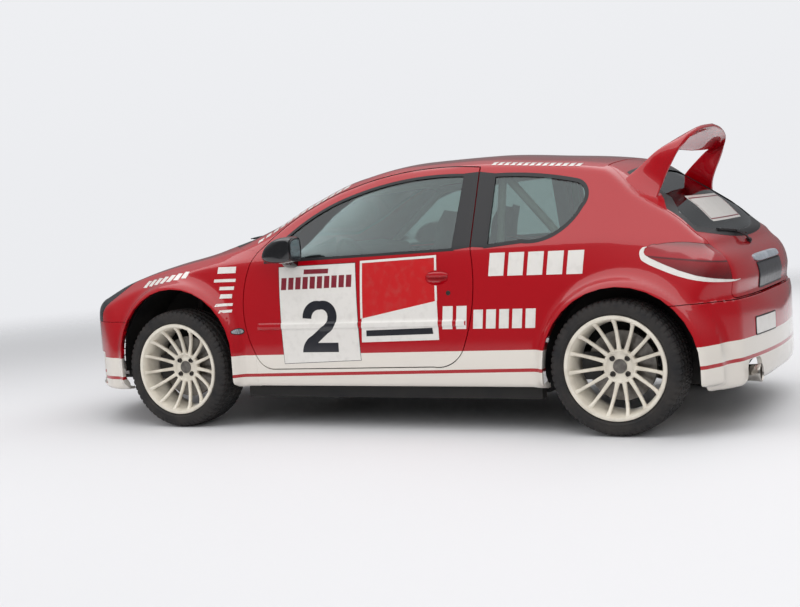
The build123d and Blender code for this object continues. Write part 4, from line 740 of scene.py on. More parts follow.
# The bonnet: one pressed steel panel, hinged at its rear edge. The cowl behind it is a fixed
# steel strip that closes the gap to the screen.
bonnet_mesh = cut(slab((-660, NOSE_Y, 560), (660, front(160), 1000), 0, -14, 22),
                  keep=[prism(BONNET, "z", 560, 1500)])
place("bonnet_skin", bonnet_mesh, crimson, "bonnet_lid", "body", "bonnet", levels=(0, -14))
cowl_mesh = cut(slab((-660, front(100), 800), (660, front(340), 1100), 0, -14, 22),
                keep=[prism(COWL, "z", 850, 1500)],
                away=[prism(grown(WINDSCREEN, GLASS_GAP), "y", front(100), front(500))])
place("cowl_skin", cowl_mesh, crimson, "chassis", "body", "cowl_panel", levels=(0, -14))

# The body sides: sill, pillars, cant rail and quarter panel, pressed from one steel sheet on
# each side and welded to the floor, with openings for door, lamp and window.
TAILGATE = other_side(
    [(0, 612), (600, 612)] + arc((600, 612), (622, 621), (631, 643)) + [(633, 720), (634, 790)]
    + arc((634, 790), (638, 832), (655, 866))[1:] + [(648, 925), (600, 1098), (500, 1262),
                                                     (500, 1500), (0, 1500)])
ROOF = box_outline((-500, front(1000)), (500, rear(-96)))
LAMP_FOOT = [(rear(aft), z) for aft, z in (
    (136, 846), (142, 833), (165, 818), (222, 790), (298, 757), (375, 730), (450, 710),
    (506, 698), (560, 690))]
LAMP_HEAD = arc((rear(400), 866), (rear(300), 881), (rear(200), 877), 10)
LAMP_TIP = arc((rear(196), 876), (rear(152), 868), (rear(137), 848), 8)
TAIL_LAMP = LAMP_FOOT + [(rear(560), 822), (rear(470), 847)] + LAMP_HEAD + LAMP_TIP
QUARTER_WINDOW = traced(((rear(-650), 898), (rear(-460), 915)),
                        ((rear(-460), 915), (rear(-278), 952), (rear(-174), 1068)),
                        ((rear(-174), 1068), (rear(-160), 1152), (rear(-216), 1202)),
                        ((rear(-216), 1202), (rear(-420), 1240), (rear(-650), 1254)))
SIDE = [(front(500.6), 100), (front(500.6), 925.6), (front(470), 937.6), (front(245.6), 957.6),
        (front(245.6), 2000), (rear(800), 2000), (rear(800), 606), (rear(200), 606),
        (rear(200), 100)]
PILLAR_GAP = box_outline((front(1500), 900), (front(1749), 1290))
side_mesh = cut(
    slab((300, front(230), 180), (900, rear(600), 1400), 0, -34, 16),
    keep=[prism(SIDE, "x", 250, WIDE)],
    away=[prism(grown(TAILGATE, SHUT_GAP), "y", rear(-96), rear(900)),
          prism(grown(WINDSCREEN, GLASS_GAP), "y", front(100), front(1150)),
          prism(grown(ROOF, WELD_GAP), "z", 900, 2000),
          prism(grown(COWL, WELD_GAP), "z", 300, 1500),
          prism(grown(TAIL_LAMP, LAMP_GAP), "x", 400, WIDE), prism(QUARTER_WINDOW, "x", 200, WIDE),
          prism(grown(DOOR, SHUT_GAP), "x", 200, WIDE), prism(PILLAR_GAP, "x", 200, WIDE),
          prism(arch_outline(*REAR_ARCH), "x", 200, WIDE),
          block((-10, front(480), 0), (775, rear(600), 262))])
for side, twin in SIDES:
    place(f"body_side_{side}", twin(side_mesh), crimson, "chassis", "body", f"body_side_{side}",
          levels=(0, -34))

# The roof: a pressed steel panel, let in between the two cant rails and bonded to them,
# from the screen's top edge to the tailgate's hinges.
roof_mesh = cut(slab((-520, front(980), 1150), (520, rear(-80), 1400), 0, -14, 24),
                keep=[prism(ROOF, "z", 900, 2000)],
                away=[prism(grown(WINDSCREEN, GLASS_GAP), "y", front(100), front(1150))])
place("roof_skin", roof_mesh, crimson, "chassis", "body", "roof_panel", levels=(0, -14))

# The tailgate: a pressed steel lid hinged at the roof, with the rear window let into its
# upper half. Its lower edge closes on the bumper's ledge.
REAR_WINDOW = traced(((-632, 925), (0, 872), (632, 925)), ((632, 925), (604, 1034)),
                     ((560, 1062), (482, 1104)), ((464, 1216), (0, 1250), (-464, 1216)),
                     ((-482, 1104), (-560, 1062)), ((-604, 1034), (-632, 925)))
tailgate_mesh = cut(slab((-680, rear(-110), 590), (680, rear(600), 1330), 0, -20, 20),
                    keep=[prism(TAILGATE, "y", rear(-90), rear(900))],
                    away=[prism(REAR_WINDOW, "y", rear(-90), rear(900))])
place("tailgate_skin", tailgate_mesh, crimson, "tailgate_lid", "body", "tailgate", levels=(0, -20))

# The bumpers: moulded plastic covers in body colour, screwed to wings and quarters. The front
# one is open for a mouth, two ducts and the plate, the rear one for the tail pipe.
FRONT_BUMPER = [(front(-1000), 100), (front(-250), 100), (front(-250), 578.6),
                (front(-640.6), 578.6), (front(-640.6), 720), (front(-1000), 720)]
MOUTH = traced(((-350, 262), (350, 262)), ((350, 262), (378, 274), (390, 302)),
               ((390, 392), (378, 420), (350, 432)),
               ((-350, 432), (-378, 420), (-390, 392)), ((-390, 302), (-378, 274), (-350, 262)))
DUCT = box_outline((NOSE_Y - 50, 226), (front(-556), 406))
NOSE_PLATE = ((-230, 448), (230, 540))
half_lip = [(780, front(-200)), (780, -1560), (740, -1592), (700, -1636), (600, -1708),
            (500, -1784), (400, -1842), (300, -1884), (150, -1924), (0, -1936)]
lip_back = half_lip + [(-x, y) for x, y in half_lip[-2::-1]]


def pill(low, high, radius):
    """A box's outline with rounded corners."""
    (x0, z0), (x1, z1) = low, high
    shift = radius * (1 - sqrt(0.5))
    return traced(((x0 + radius, z0), (x1 - radius, z0)),
                  ((x1 - radius, z0), (x1 - shift, z0 + shift), (x1, z0 + radius)),
                  ((x1, z1 - radius), (x1 - shift, z1 - shift), (x1 - radius, z1)),
                  ((x0 + radius, z1), (x0 + shift, z1 - shift), (x0, z1 - radius)),
                  ((x0, z0 + radius), (x0 + shift, z0 + shift), (x0 + radius, z0)))


bumper_mesh = cut(
    slab((-900, NOSE_Y - 10, 180), (900, front(-230), 760), 0, -22, 16),
    keep=[prism(FRONT_BUMPER, "x", -WIDE, WIDE)],
    away=[prism(arch_outline(*FRONT_ARCH), "x", -WIDE, WIDE),
          prism(grown(BONNET, 2 * BONNET_GAP), "z", 300, 1500),
          prism(grown(HEADLAMP, LAMP_GAP), "z", 579, 1500),
          prism(grown([(-x, y) for x, y in HEADLAMP], LAMP_GAP), "z", 579, 1500),
          prism(DUCT, "x", 515, WIDE), prism(DUCT, "x", -WIDE, -515),
          prism(MOUTH, "y", NOSE_Y - 50, NOSE_Y + 150), prism(lip_back, "z", 0, 300),
          prism(grown(pill(*NOSE_PLATE, 8), 2), "y", NOSE_Y - 50, NOSE_Y + 100)])
place("front_bumper_cover", bumper_mesh, crimson, "chassis", "body", "front_bumper",
      levels=(0, -22))
REAR_BUMPER = [(rear(200), 100), (rear(800), 100), (rear(800), 602), (rear(200), 602)]
pipe_notch = traced(((384, 100), (650, 100)), ((632, 206), (574, 216), (556, 268)),
                    ((556, 272), (544, 304), (512, 316)),
                    ((428, 316), (396, 304), (384, 262)))
half_lip = [(700, rear(100)), (760, rear(330)), (700, 1836), (600, 1872), (500, 1896), (300, 1918),
            (0, 1930)]
lip_front = half_lip + [(-x, y) for x, y in half_lip[-2::-1]]
rear_bumper_mesh = cut(
    slab((-900, rear(180), 180), (900, TAIL_Y + 10, 640), 0, -22, 16),
    keep=[prism(REAR_BUMPER, "x", -WIDE, WIDE)],
    away=[prism(arch_outline(*REAR_ARCH), "x", -WIDE, WIDE),
          prism(pipe_notch, "y", rear(300), rear(700)),
          prism(lip_front, "z", 0, 262),
          block((-10, rear(100), 560), (500, rear(440), 700))])
place("rear_bumper_cover", rear_bumper_mesh, crimson, "chassis", "body", "rear_bumper",
      levels=(0, -22))

# The glass: tinted safety glass bonded in a black border, let in flush with the steel.
# Each pane is cut from the same skin, a few millimetres down.
def clear_finish(name, least, seen_through, sheen, roughness):
    """A clear sheet that mirrors what is round it, the more so the flatter it is seen."""
    material, wires = new_finish(name)
    edge_on = wires.node("Fresnel", None, {"IOR": 1.5})
    wires.node("MixShader", None, {
        0: edge_on * 1.1 + least,
        1: wires.node("BsdfTransparent", None, {"Color": seen_through}),
        2: wires.node("BsdfAnisotropic", None, {"Color": sheen, "Roughness": roughness})}).close()
    return material


glass = clear_finish("tinted_glass", 0.01, tint(200, 212, 210), tint(240, 243, 245), 0.012)
rubber, wires = new_finish("black_rubber")
spot = wires.node("TexCoord", output=3)
grain = wires.node("TexNoise", None, {"Vector": spot, "Scale": 260.0, "Detail": 3.0})
polish(wires, Base_Color=grain.blend(tint(16, 16, 18), tint(30, 30, 33)),
       Roughness=grain * 0.2 + 0.38,
       Normal=wires.node("Bump", None, {"Strength": 0.15, "Distance": 0.0006, "Height": grain}))

PANE, PANE_BACK, BORDER_TOP, BORDER_FOOT = -5.0, -9.0, 0.6, -9.5


def pane_and_border(outline, low, high, axis, start, stop, border, overlap=2.0):
    """A pane that fills an opening, and the black border round it."""
    pane = cut(slab(low, high, PANE, PANE_BACK, 24),
               keep=[prism(grown(outline, -1), axis, start, stop)])
    rim = cut(slab(low, high, BORDER_TOP, BORDER_FOOT, 20),
              keep=[prism(grown(outline, overlap), axis, start, stop)],
              away=[prism(grown(outline, -border), axis, start, stop)])
    return pane, rim


door_pane, door_rim = pane_and_border(DOOR_WINDOW, (400, front(520), 830), (900, front(1720), 1320),
                                      "x", 300, WIDE, 12)
for side, twin in SIDES:
    place(f"door_pane_{side}", twin(door_pane), glass, f"{side}_door", "glass",
          f"door_glass_{side}", levels=(PANE, PANE_BACK))
    place(f"door_seal_{side}", twin(door_rim), rubber, f"{side}_door", "trim", levels=(BORDER_TOP,))
quarter_pane, quarter_rim = pane_and_border(QUARTER_WINDOW, (400, rear(-700), 830),
                                            (900, rear(-120), 1320), "x", 300, WIDE, 16)
place("quarter_panes", both(quarter_pane), glass, "chassis", "glass", "quarter_windows",
      levels=(PANE, PANE_BACK))
place("quarter_seals", both(quarter_rim), rubber, "chassis", "trim", levels=(BORDER_TOP,))
screen_pane, screen_rim = pane_and_border(WINDSCREEN, (-660, front(200), 920),
                                          (660, front(1060), 1340), "y", front(100), front(1150),
                                          20)
place("windscreen_pane", screen_pane, glass, "chassis", "glass", "windscreen",
      levels=(PANE, PANE_BACK))
place("windscreen_border", screen_rim, rubber, "chassis", "trim", levels=(BORDER_TOP,))
rear_pane, rear_rim = pane_and_border(REAR_WINDOW, (-660, rear(-120), 830), (660, rear(460), 1300),
                                      "y", rear(-90), rear(900), 30)
place("rear_pane", rear_pane, glass, "tailgate_lid", "glass", "rear_window",
      levels=(PANE, PANE_BACK))
place("rear_border", rear_rim, rubber, "tailgate_lid", "trim", levels=(BORDER_TOP,))

# The black pillar between door glass and quarter glass: satin film, laid on the door's frame
# and on the steel beside it, and split at the door's gap.
PILLAR_DOOR = [(front(1640), 894), (front(1742), 905), (front(1742), 1269), (front(1668), 1266)]
PILLAR_SIDE = [(front(1748), 906), (rear(-640), 900), (rear(-640), 1256), (front(1748), 1269)]
pillar_door = cut(slab((400, front(1600), 860), (900, front(1780), 1320), 1.0, -1.5, 24),
                  keep=[prism(PILLAR_DOOR, "x", 300, WIDE)],
                  away=[prism(grown(DOOR_WINDOW, -6), "x", 300, WIDE)])
pillar_side = cut(slab((400, front(1720), 860), (900, rear(-600), 1320), 1.0, -1.5, 24),
                  keep=[prism(PILLAR_SIDE, "x", 300, WIDE)],
                  away=[prism(grown(QUARTER_WINDOW, -6), "x", 300, WIDE)])
for side, twin in SIDES:
    place(f"pillar_film_door_{side}", twin(pillar_door), rubber, f"{side}_door", "trim",
          levels=(1.0,))
place("pillar_film_sides", both(pillar_side), rubber, "chassis", "trim", levels=(1.0,))

# The lamps: clear and red acrylic lenses over bright bowls, cut flush into the wings and
# quarters. A dark frame holds each clear lens; the red ones are ribbed and two-toned.
lens_red, wires = new_finish("red_lens")
spot = wires.node("TexCoord", output=3)
along_car, height = spot.axes()[1:]
chamber = height + along_car * 0.13
ribs = wires.node("TexWave", {"bands_direction": "Z"},
                  {"Vector": spot, "Scale": 90.0, "Distortion": 0.0})
shade = wires.node("ValToRGB", {"stops": [
    (0.0, tint(92, 4, 12)), (0.42, tint(138, 10, 20)), (0.47, tint(60, 4, 10)),
    (0.52, tint(168, 30, 40)), (0.85, tint(150, 16, 26)), (1.0, tint(104, 6, 14))]},
    {0: wires.node("MapRange", None, {0: chamber, 1: 0.965, 2: 1.100})})
polish(wires, Base_Color=(ribs * 0.25).blend(shade, tint(84, 4, 10)), Roughness=ribs * 0.04 + 0.1,
       Coat_Weight=1.0, Coat_Roughness=0.01, Specular_IOR_Level=0.6)
clear_glass = clear_finish("clear_lens", 0.02, tint(238, 241, 243), tint(245, 247, 250), 0.01)
bright_plate, wires = new_finish("bright_plate")
spot = wires.node("TexCoord", output=3)
flutes = wires.node("TexWave", {"bands_direction": "X"},
                    {"Vector": spot, "Scale": 60.0, "Distortion": 0.0})
polish(wires, Base_Color=flutes.blend(tint(196, 199, 204), tint(226, 229, 233)), Metallic=0.9,
       Roughness=flutes * 0.12 + 0.1)
lamp_keep = [prism(HEADLAMP, "z", 580, 1500)]
lamp_away = [prism(grown(BONNET, BONNET_GAP), "z", 300, 1500)]
lamp_box = (380, NOSE_Y, 560), (870, front(-300), 860)
lens_mesh = cut(slab(*lamp_box, 0.5, -3, 14), keep=lamp_keep, away=lamp_away)
bowl_mesh = cut(slab(*lamp_box, -20, -30, 14), keep=lamp_keep, away=lamp_away)
frame_mesh = cut(slab(*lamp_box, -2.5, -21, 14), keep=lamp_keep,
                 away=lamp_away + [prism(grown(HEADLAMP, -5), "z", 300, 1500)])
place("headlamp_lenses", both(lens_mesh), clear_glass, "chassis", "lamp_clear", "headlamps",
      levels=(0.5, -3))
place("headlamp_backs", both(bowl_mesh), bright_plate, "chassis", "lamp_clear", levels=(-20, -30))
place("headlamp_frames", both(frame_mesh), rubber, "chassis", "trim", levels=(-2.5, -21))
tail_lamp_mesh = cut(slab((480, rear(90), 670), (860, rear(580), 910), 1.5, -30, 12),
                     keep=[prism(TAIL_LAMP, "x", 560, WIDE)],
                     away=[prism(grown(TAILGATE, SHUT_GAP), "y", rear(-96), rear(900))])
place("tail_lamp_lenses", both(tail_lamp_mesh), lens_red, "chassis", "lamp_red",
      "tail_lamps", levels=(1.5, -30))


# The tyres: low-profile rally rubber, moulded as one ring, with shoulder blocks, three grooves
# and a plain side wall with a raised rib.
def ring_mesh(profile, count, bend=None):
    """A ring turned about the X axis from a closed outline of (x, radius) points."""
    outline = np.array(profile, float)
    turn = np.arange(count) * 2 * pi / count
    x = np.repeat(outline[None, :, 0], count, axis=0)
    radius = np.repeat(outline[None, :, 1], count, axis=0)
    if bend is not None:
        x, radius = bend(x, radius, turn[:, None])
    points = np.stack([x, radius * np.cos(turn)[:, None], radius * np.sin(turn)[:, None]], axis=-1)
    width = len(profile)
    faces = [(a * width + b, a * width + (b + 1) % width, (a + 1) % count * width + (b + 1) % width,
              (a + 1) % count * width + b) for a in range(count) for b in range(width)]
    return solid_mesh(points.reshape(-1, 3).tolist(), faces)


WHEEL_X, WHEEL_Z = 762.5, 320.0
half_tread = [(0, 312), (7, 312), (9, 319.6), (38, 319.2), (40, 311), (50, 311), (52, 318.6),
              (78, 317),
              (80, 310.5), (86, 310.5), (88, 315), (98, 312), (106, 303), (110.5, 292), (112, 280),
              (112.2, 272),
              (110.5, 266), (111, 262), (107, 256), (101.5, 251), (97.5, 247), (95.5, 236),
              (95.5, 229)]
tyre_profile = ([(x, r) for x, r in reversed(half_tread)] + [(-x, r) for x, r in half_tread[1:]]
                + [(-80, 234), (-40, 300), (40, 300), (80, 234)])


def tread_cuts(x, radius, turn):
    """Cross grooves between the blocks, slanted and staggered from row to row."""
    across = np.abs(x)
    shoulder = np.clip((across - 52) / 6, 0, 1) * (across < 111) * (radius > 288)
    middle = (across > 8) * (across < 53) * (radius > 314)
    slant = turn + x * 0.0009
    shoulder_groove = np.cos(slant * 64) > 0.62
    middle_groove = np.cos(slant * 64 + np.sign(x) * 1.4 + 0.03 * x) > 0.80
    return x, radius - 5.5 * shoulder * shoulder_groove - 5.0 * middle * middle_groove


tyre_rubber, wires = new_finish("tyre_rubber")
spot = wires.node("TexCoord", output=3)
dust = wires.node("TexNoise", None, {"Vector": spot, "Scale": 9.0, "Detail": 6.0, "Roughness": 0.7})
grit = wires.node("TexNoise", None, {"Vector": spot, "Scale": 340.0, "Detail": 2.0})
polish(wires, Base_Color=wires.node("ValToRGB",
                                    {"stops": [(0.35, tint(22, 22, 24)), (0.75, tint(54, 50, 47))]},
                                    {0: dust}),
       Roughness=dust * 0.25 + 0.6,
       Normal=wires.node("Bump", None, {"Strength": 0.3, "Distance": 0.0008, "Height": grit}))
tyre_mesh = ring_mesh(tyre_profile, 384, tread_cuts)

# The wheels: one-piece cast rims in cream-white enamel, fifteen slim spokes that rise to the rim's
# edge, a dished hub with four bolts, and patches of brake dust.
wheel_white, wires = new_finish("wheel_enamel")
spot = wires.node("TexCoord", output=3)
dust = wires.node("TexNoise", None, {"Vector": spot, "Scale": 14.0, "Detail": 5.0})
grey = wires.node("MapRange", None, {0: dust, 1: 0.45, 2: 0.8, 3: 0.0, 4: 0.5})
polish(wires, Base_Color=grey.blend(tint(224, 217, 203), tint(158, 146, 130)),
       Roughness=dust * 0.2 + 0.28, Coat_Weight=0.4, Coat_Roughness=0.12)
dark_steel, wires = new_finish("dark_steel")
spot = wires.node("TexCoord", output=3)
turned_marks = wires.node("TexNoise", None, {"Vector": spot, "Scale": 120.0, "Detail": 3.0})
polish(wires, Base_Color=turned_marks.blend(tint(46, 44, 44), tint(88, 84, 80)), Metallic=0.8,
       Roughness=turned_marks * 0.3 + 0.3)

RIM_EDGE, RIM_BACK = 104.0, -104.0
barrel_profile = [(RIM_EDGE, 246), (RIM_EDGE + 2.5, 243), (RIM_EDGE + 3, 236), (RIM_EDGE, 229),
                  (92, 223), (70, 218),
                  (40, 214), (-30, 211), (-80, 216), (-100, 224), (RIM_BACK, 232), (RIM_BACK, 246),
                  (-98, 247), (-96, 229.5),
                  (-60, 222), (-20, 214.5), (40, 218), (74, 224), (96, 229.5), (98, 247)]
rim = ring_mesh(barrel_profile, 120)
HUB_X, SPOKES = 27.5, 15
hub_profile = [(HUB_X - 26, 33), (HUB_X - 26, 80), (HUB_X - 6, 82), (HUB_X + 1, 78),
               (HUB_X + 2, 72), (HUB_X - 5, 64),
               (HUB_X - 9, 58), (HUB_X - 9, 40), (HUB_X - 6, 36), (HUB_X - 8, 33)]
hub = ring_mesh(hub_profile, 90)


def lofted(rings):
    """A closed skin over a run of outlines that have as many points each."""
    count, last = len(rings[0]), len(rings) - 1
    faces = [(r * count + k, r * count + (k + 1) % count, (r + 1) * count + (k + 1) % count,
              (r + 1) * count + k) for r in range(last) for k in range(count)]
    faces += [tuple(range(count))[::-1], tuple(range(last * count, (last + 1) * count))]
    return solid_mesh([tuple(point) for ring in rings for point in ring], faces)


def squared(angle, power):
    """A circle's cosine and sine, pushed out towards a square."""
    c, s = cos(angle), sin(angle)
    return abs(c) ** power * (1 if c > 0 else -1), abs(s) ** power * (1 if s > 0 else -1)


def spoke_mesh():
    """One spoke along Z: a rounded bar that narrows outwards and rises to the rim's edge."""
    rings = []
    for out, x, half_width, half_depth in (
            (64, HUB_X - 12, 13.0, 11.0), (78, HUB_X - 9, 11.5, 10.0), (100, HUB_X - 4, 9.6, 9.5),
            (140, HUB_X + 8, 8.6, 9.5), (180, HUB_X + 25, 8.2, 10.0), (205, HUB_X + 40, 8.6, 11.5),
            (218, HUB_X + 52, 10.5, 14.0), (228, HUB_X + 58, 14.0, 14.0)):
        corners = [squared(2 * pi * k / 14, 0.62) for k in range(14)]
        rings.append([(x + half_depth * c, half_width * s, out) for c, s in corners])
    return lofted(rings)


def ring_of(mesh, count):
    """Copies of a piece set round the X axis."""
    copies = []
    for k in range(count):
        copy = mesh.copy()
        copy.transform(Matrix.Rotation(2 * pi * k / count, 4, "X"))
        copies.append(copy)
    return copies


def bolt_mesh(x, y, z, radius, length):
    """A conical wheel bolt in its seat, with a socket in its head."""
    profile = [(x - 4, 0.1), (x - 4, radius + 3), (x, radius + 3), (x + 2, radius),
               (x + length, radius - 1), (x + length + 1, radius - 2.5),
               (x + length + 1, radius - 5), (x + length - 5, radius - 5.5), (x + length - 5, 0.1)]
    mesh = ring_mesh(profile, 24)
    mesh.transform(Matrix.Translation((0, y, z)))
    return mesh


bolts = []
for k in range(4):
    angle = 2 * pi * (k + 0.5) / 4
    bolts.append(bolt_mesh(HUB_X - 9, 52 * cos(angle), 52 * sin(angle), 11, 12))
wheel_mesh = together(rim, hub, *ring_of(spoke_mesh(), SPOKES))


def soft_edges(mesh, angle=38):
    """Smooth shading that breaks at edges sharper than an angle."""
    mesh.polygons.foreach_set("use_smooth", np.ones(len(mesh.polygons), bool))
    mesh.set_sharp_from_angle(angle=radians(angle))
    return mesh


def at_corner(mesh, side, axle_y):
    """A wheel piece moved to its corner, turned to face outwards."""
    piece = mesh.copy() if side == "left" else mirrored(mesh)
    piece.transform(Matrix.Translation((WHEEL_X if side == "left" else -WHEEL_X, axle_y, WHEEL_Z)))
    return piece


soft_edges(tyre_mesh, 30)
soft_edges(wheel_mesh)
bolt_set = soft_edges(together(*bolts))
for axle, axle_y in (("front", front(0)), ("rear", rear(0))):
    for side in ("left", "right"):
        body = f"{axle}_{side}_wheel"
        place(f"tyre_tread_{axle}_{side}", at_corner(tyre_mesh, side, axle_y), tyre_rubber, body,
              "tyre", f"tyre_{axle}_{side}")
        place(f"wheel_cast_{axle}_{side}", at_corner(wheel_mesh, side, axle_y), wheel_white, body,
              "wheel", f"wheel_{axle}_{side}")
        place(f"wheel_bolts_{axle}_{side}", at_corner(bolt_set, side, axle_y), dark_steel, body,
              "iron")

# What stays as the CAD made it takes its own finish: turned iron discs, the steel floor under its
# sprayed coating, the tubes of the cage in cream enamel, the engine, exhaust and running gear.
def noisy_finish(name, low, high, scale, roughness, metal=0.0, bump=0.1, coat=0.0):
    """A finish whose colour and roughness drift, with a fine grain."""
    material, wires = new_finish(name)
    spot = wires.node("TexCoord", output=3)
    drift = wires.node("TexNoise", None, {"Vector": spot, "Scale": scale, "Detail": 6.0})
    grain = wires.node("TexNoise", None, {"Vector": spot, "Scale": 300.0, "Detail": 2.0})
    polish(wires, Base_Color=wires.node("ValToRGB", {"stops": [(0.3, low), (0.7, high)]},
                                        {0: drift}),
           Roughness=drift * 0.25 + (roughness - 0.12), Metallic=metal, Coat_Weight=coat,
           Normal=wires.node("Bump", None, {"Strength": bump, "Distance": 0.001, "Height": grain}))
    return material


def refinish(material, *nodes):
    """Gives a finer finish to nodes that keep their CAD shape."""
    for node in nodes:
        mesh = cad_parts[node].data
        mesh.materials.clear()
        mesh.materials.append(material)


coating = noisy_finish("sprayed_coating", tint(20, 20, 21), tint(40, 38, 36), 7.0, 0.75, bump=0.4)
refinish(coating, "floor_pan", "inner_wings", "rear_wheelhouses")
frame_paint = noisy_finish("satin_black_steel", tint(24, 24, 26), tint(44, 43, 43), 12.0, 0.5,
                           bump=0.15)
refinish(frame_paint, "front_subframe", "wishbones", "rear_axle", "knuckle_left", "knuckle_right")
iron = noisy_finish("turned_iron", tint(96, 92, 88), tint(140, 136, 130), 30.0, 0.35, metal=0.9)
refinish(iron, *[f"brake_disc_{axle}_{side}"
                 for axle in ("front", "rear") for side in ("left", "right")])
engine_metal = noisy_finish("cast_alloy", tint(92, 93, 95), tint(130, 131, 133), 16.0, 0.5,
                            metal=0.7, bump=0.3)
refinish(engine_metal, "engine_block", "radiator")
pipe_metal = noisy_finish("heated_steel", tint(120, 112, 102), tint(168, 160, 150), 18.0, 0.35,
                          metal=0.95)
refinish(pipe_metal, "exhaust")
cage_paint = noisy_finish("cream_enamel", tint(196, 192, 172), tint(214, 211, 194), 5.0, 0.4,
                          coat=0.3, bump=0.03)
refinish(cage_paint, "roll_cage", "cage_front", "door_bars")
flock = noisy_finish("dash_flock", tint(26, 26, 28), tint(38, 38, 41), 40.0, 0.9, bump=0.5)
refinish(flock, "dashboard")
black_plastic = noisy_finish("grained_plastic", tint(14, 14, 16), tint(26, 26, 28), 30.0, 0.45,
                             bump=0.2)
refinish(black_plastic, "front_grille", "steering_wheel")

# The rubbing strips: flat mouldings in body colour along the doors at knee height. Then the livery,
# thin vinyl sheets laid over door and strip alike: everything is a sheet that follows the skin.
STRIP_FRONT, STRIP_REAR, STRIP_Z, STRIP_RISE = front(518), front(1722), 540.0, 6.0
STRIP_ROWS = (-18, -15, -12, -9, 9, 12, 15, 18)


def laid(points, lift):
    """Points seen from the side, laid on the skin's left side and over its rubbing strip."""
    y, z = np.array(points, float).T
    rise = (np.clip((18 - np.abs(z - STRIP_Z)) / 9, 0, 1) * np.clip((y - STRIP_FRONT) / 16, 0, 1)
            * np.clip((STRIP_REAR - y) / 16, 0, 1))
    above = lift + STRIP_RISE * np.sin(rise * pi / 2)
    x, _ = halved(lambda x: (x, y, z), np.full_like(y, 250.0), np.full_like(y, 1000.0), above, 22)
    return np.column_stack([x, y, z])


def closed_sheet(flat, faces, top, bottom):
    """A thin closed piece from a flat pattern and its two laid faces."""
    pairs = {(a, b) for face in faces for a, b in zip(face, face[1:] + face[:1])}
    size = len(flat)
    walls = [(a, a + size, b + size, b) for a, b in pairs if (b, a) not in pairs]
    faces = faces + [tuple(k + size for k in reversed(face)) for face in faces] + walls
    return solid_mesh(np.vstack([top, bottom]).tolist(), faces)


def pattern(outline, spacing, rows=()):
    """A flat pattern inside an outline: points and faces, with lines of points on given rows."""
    edge = []
    for start, end in zip(outline, outline[1:] + outline[:1]):
        steps = max(1, int(hypot(end[0] - start[0], end[1] - start[1]) / spacing))
        stops = {k / steps for k in range(steps)}
        if abs(end[1] - start[1]) > 1:
            crossings = [(row - start[1]) / (end[1] - start[1]) for row in rows]
            stops |= {t for t in crossings if 0.001 < t < 0.999}
        edge += [(start[0] + (end[0] - start[0]) * t,
                  start[1] + (end[1] - start[1]) * t) for t in sorted(stops)]
    low, high = np.min(edge, axis=0), np.max(edge, axis=0)
    levels = [z for z in np.arange(low[1] + spacing / 2, high[1], spacing)
              if not rows or abs(z - STRIP_Z) > 22]
    levels += [row for row in rows if low[1] < row < high[1]]
    inner = [(y, z) for y in np.arange(low[0] + spacing / 2, high[0], spacing) for z in levels]
    count = len(edge)
    loop = [(k, (k + 1) % count) for k in range(count)]
    flat, _, faces, *_ = delaunay_2d_cdt([Vector(p) for p in edge + inner], loop,
                                         [list(range(count))], 1, 1e-4)
    used = sorted({k for face in faces for k in face})
    order = {k: n for n, k in enumerate(used)}
    return [tuple(flat[k]) for k in used], [[order[k] for k in face] for face in faces]


def sheet(outline, lift=0.5, thickness=0.5, spacing=22.0):
    """A thin sheet inside an outline seen from the side, on the left of the car."""
    low, high = np.min(outline, axis=0), np.max(outline, axis=0)
    crossing = low[1] < STRIP_Z + 18 and high[1] > STRIP_Z - 18 and low[0] < STRIP_REAR
    rows = [STRIP_Z + row for row in STRIP_ROWS] if crossing else ()
    flat, faces = pattern(outline, spacing, rows)
    return closed_sheet(flat, faces, laid(flat, lift + thickness), laid(flat, lift - 0.4))


def rounded_run(corners, count=40):
    """A smooth open curve through some corners."""
    places = np.arange(len(corners), dtype=float)
    return eased(places, np.array(corners, float), np.linspace(0, places[-1], count))


def slanted(y, z, width, height, lean=0.0):
    """A block's outline from its front lower corner."""
    return [(y, z), (y + width, z), (y + width + lean, z + height), (y + lean, z + height)]


def on_both_sides(name, meshes, finish, bodies=("left_door", "right_door"), slot="body"):
    """Places a left-hand piece and its mirror image."""
    whole = together(*meshes)
    twin = mirrored(whole)
    for side, mesh, body in (("left", whole, bodies[0]), ("right", twin, bodies[1])):
        soft_edges(mesh, 50)
        place(f"{name}_{side}", mesh, finish, body, slot)


CHASSIS = ("chassis", "chassis")
on_both_sides("rubbing_strip",
              [sheet(box_outline((STRIP_FRONT, STRIP_Z - 18), (STRIP_REAR, STRIP_Z + 18)), 0.0,
                     0.3)], crimson)


def vinyl(name, colour, wear=0.2):
    """Printed sheet under a thin lacquer, a little scuffed."""
    material, wires = new_finish(name)
    spot = wires.node("TexCoord", output=3)
    scuff = wires.node("TexNoise", None, {"Vector": spot, "Scale": 26.0, "Detail": 5.0})
    shade = wires.node("MapRange", None, {0: scuff, 1: 0.5, 2: 0.9, 3: 0.0, 4: wear})
    polish(wires, Base_Color=shade.blend(colour, tint(120, 112, 104)), Roughness=scuff * 0.2 + 0.24,
           Coat_Weight=0.6, Coat_Roughness=0.06)
    return material


white_vinyl = vinyl("white_vinyl", tint(222, 219, 214))
black_vinyl = vinyl("black_vinyl", tint(16, 18, 28), 0.08)
dark_red_vinyl = vinyl("dark_red_vinyl", tint(122, 20, 38))
bright_red_vinyl = vinyl("bright_red_vinyl", tint(188, 10, 16))

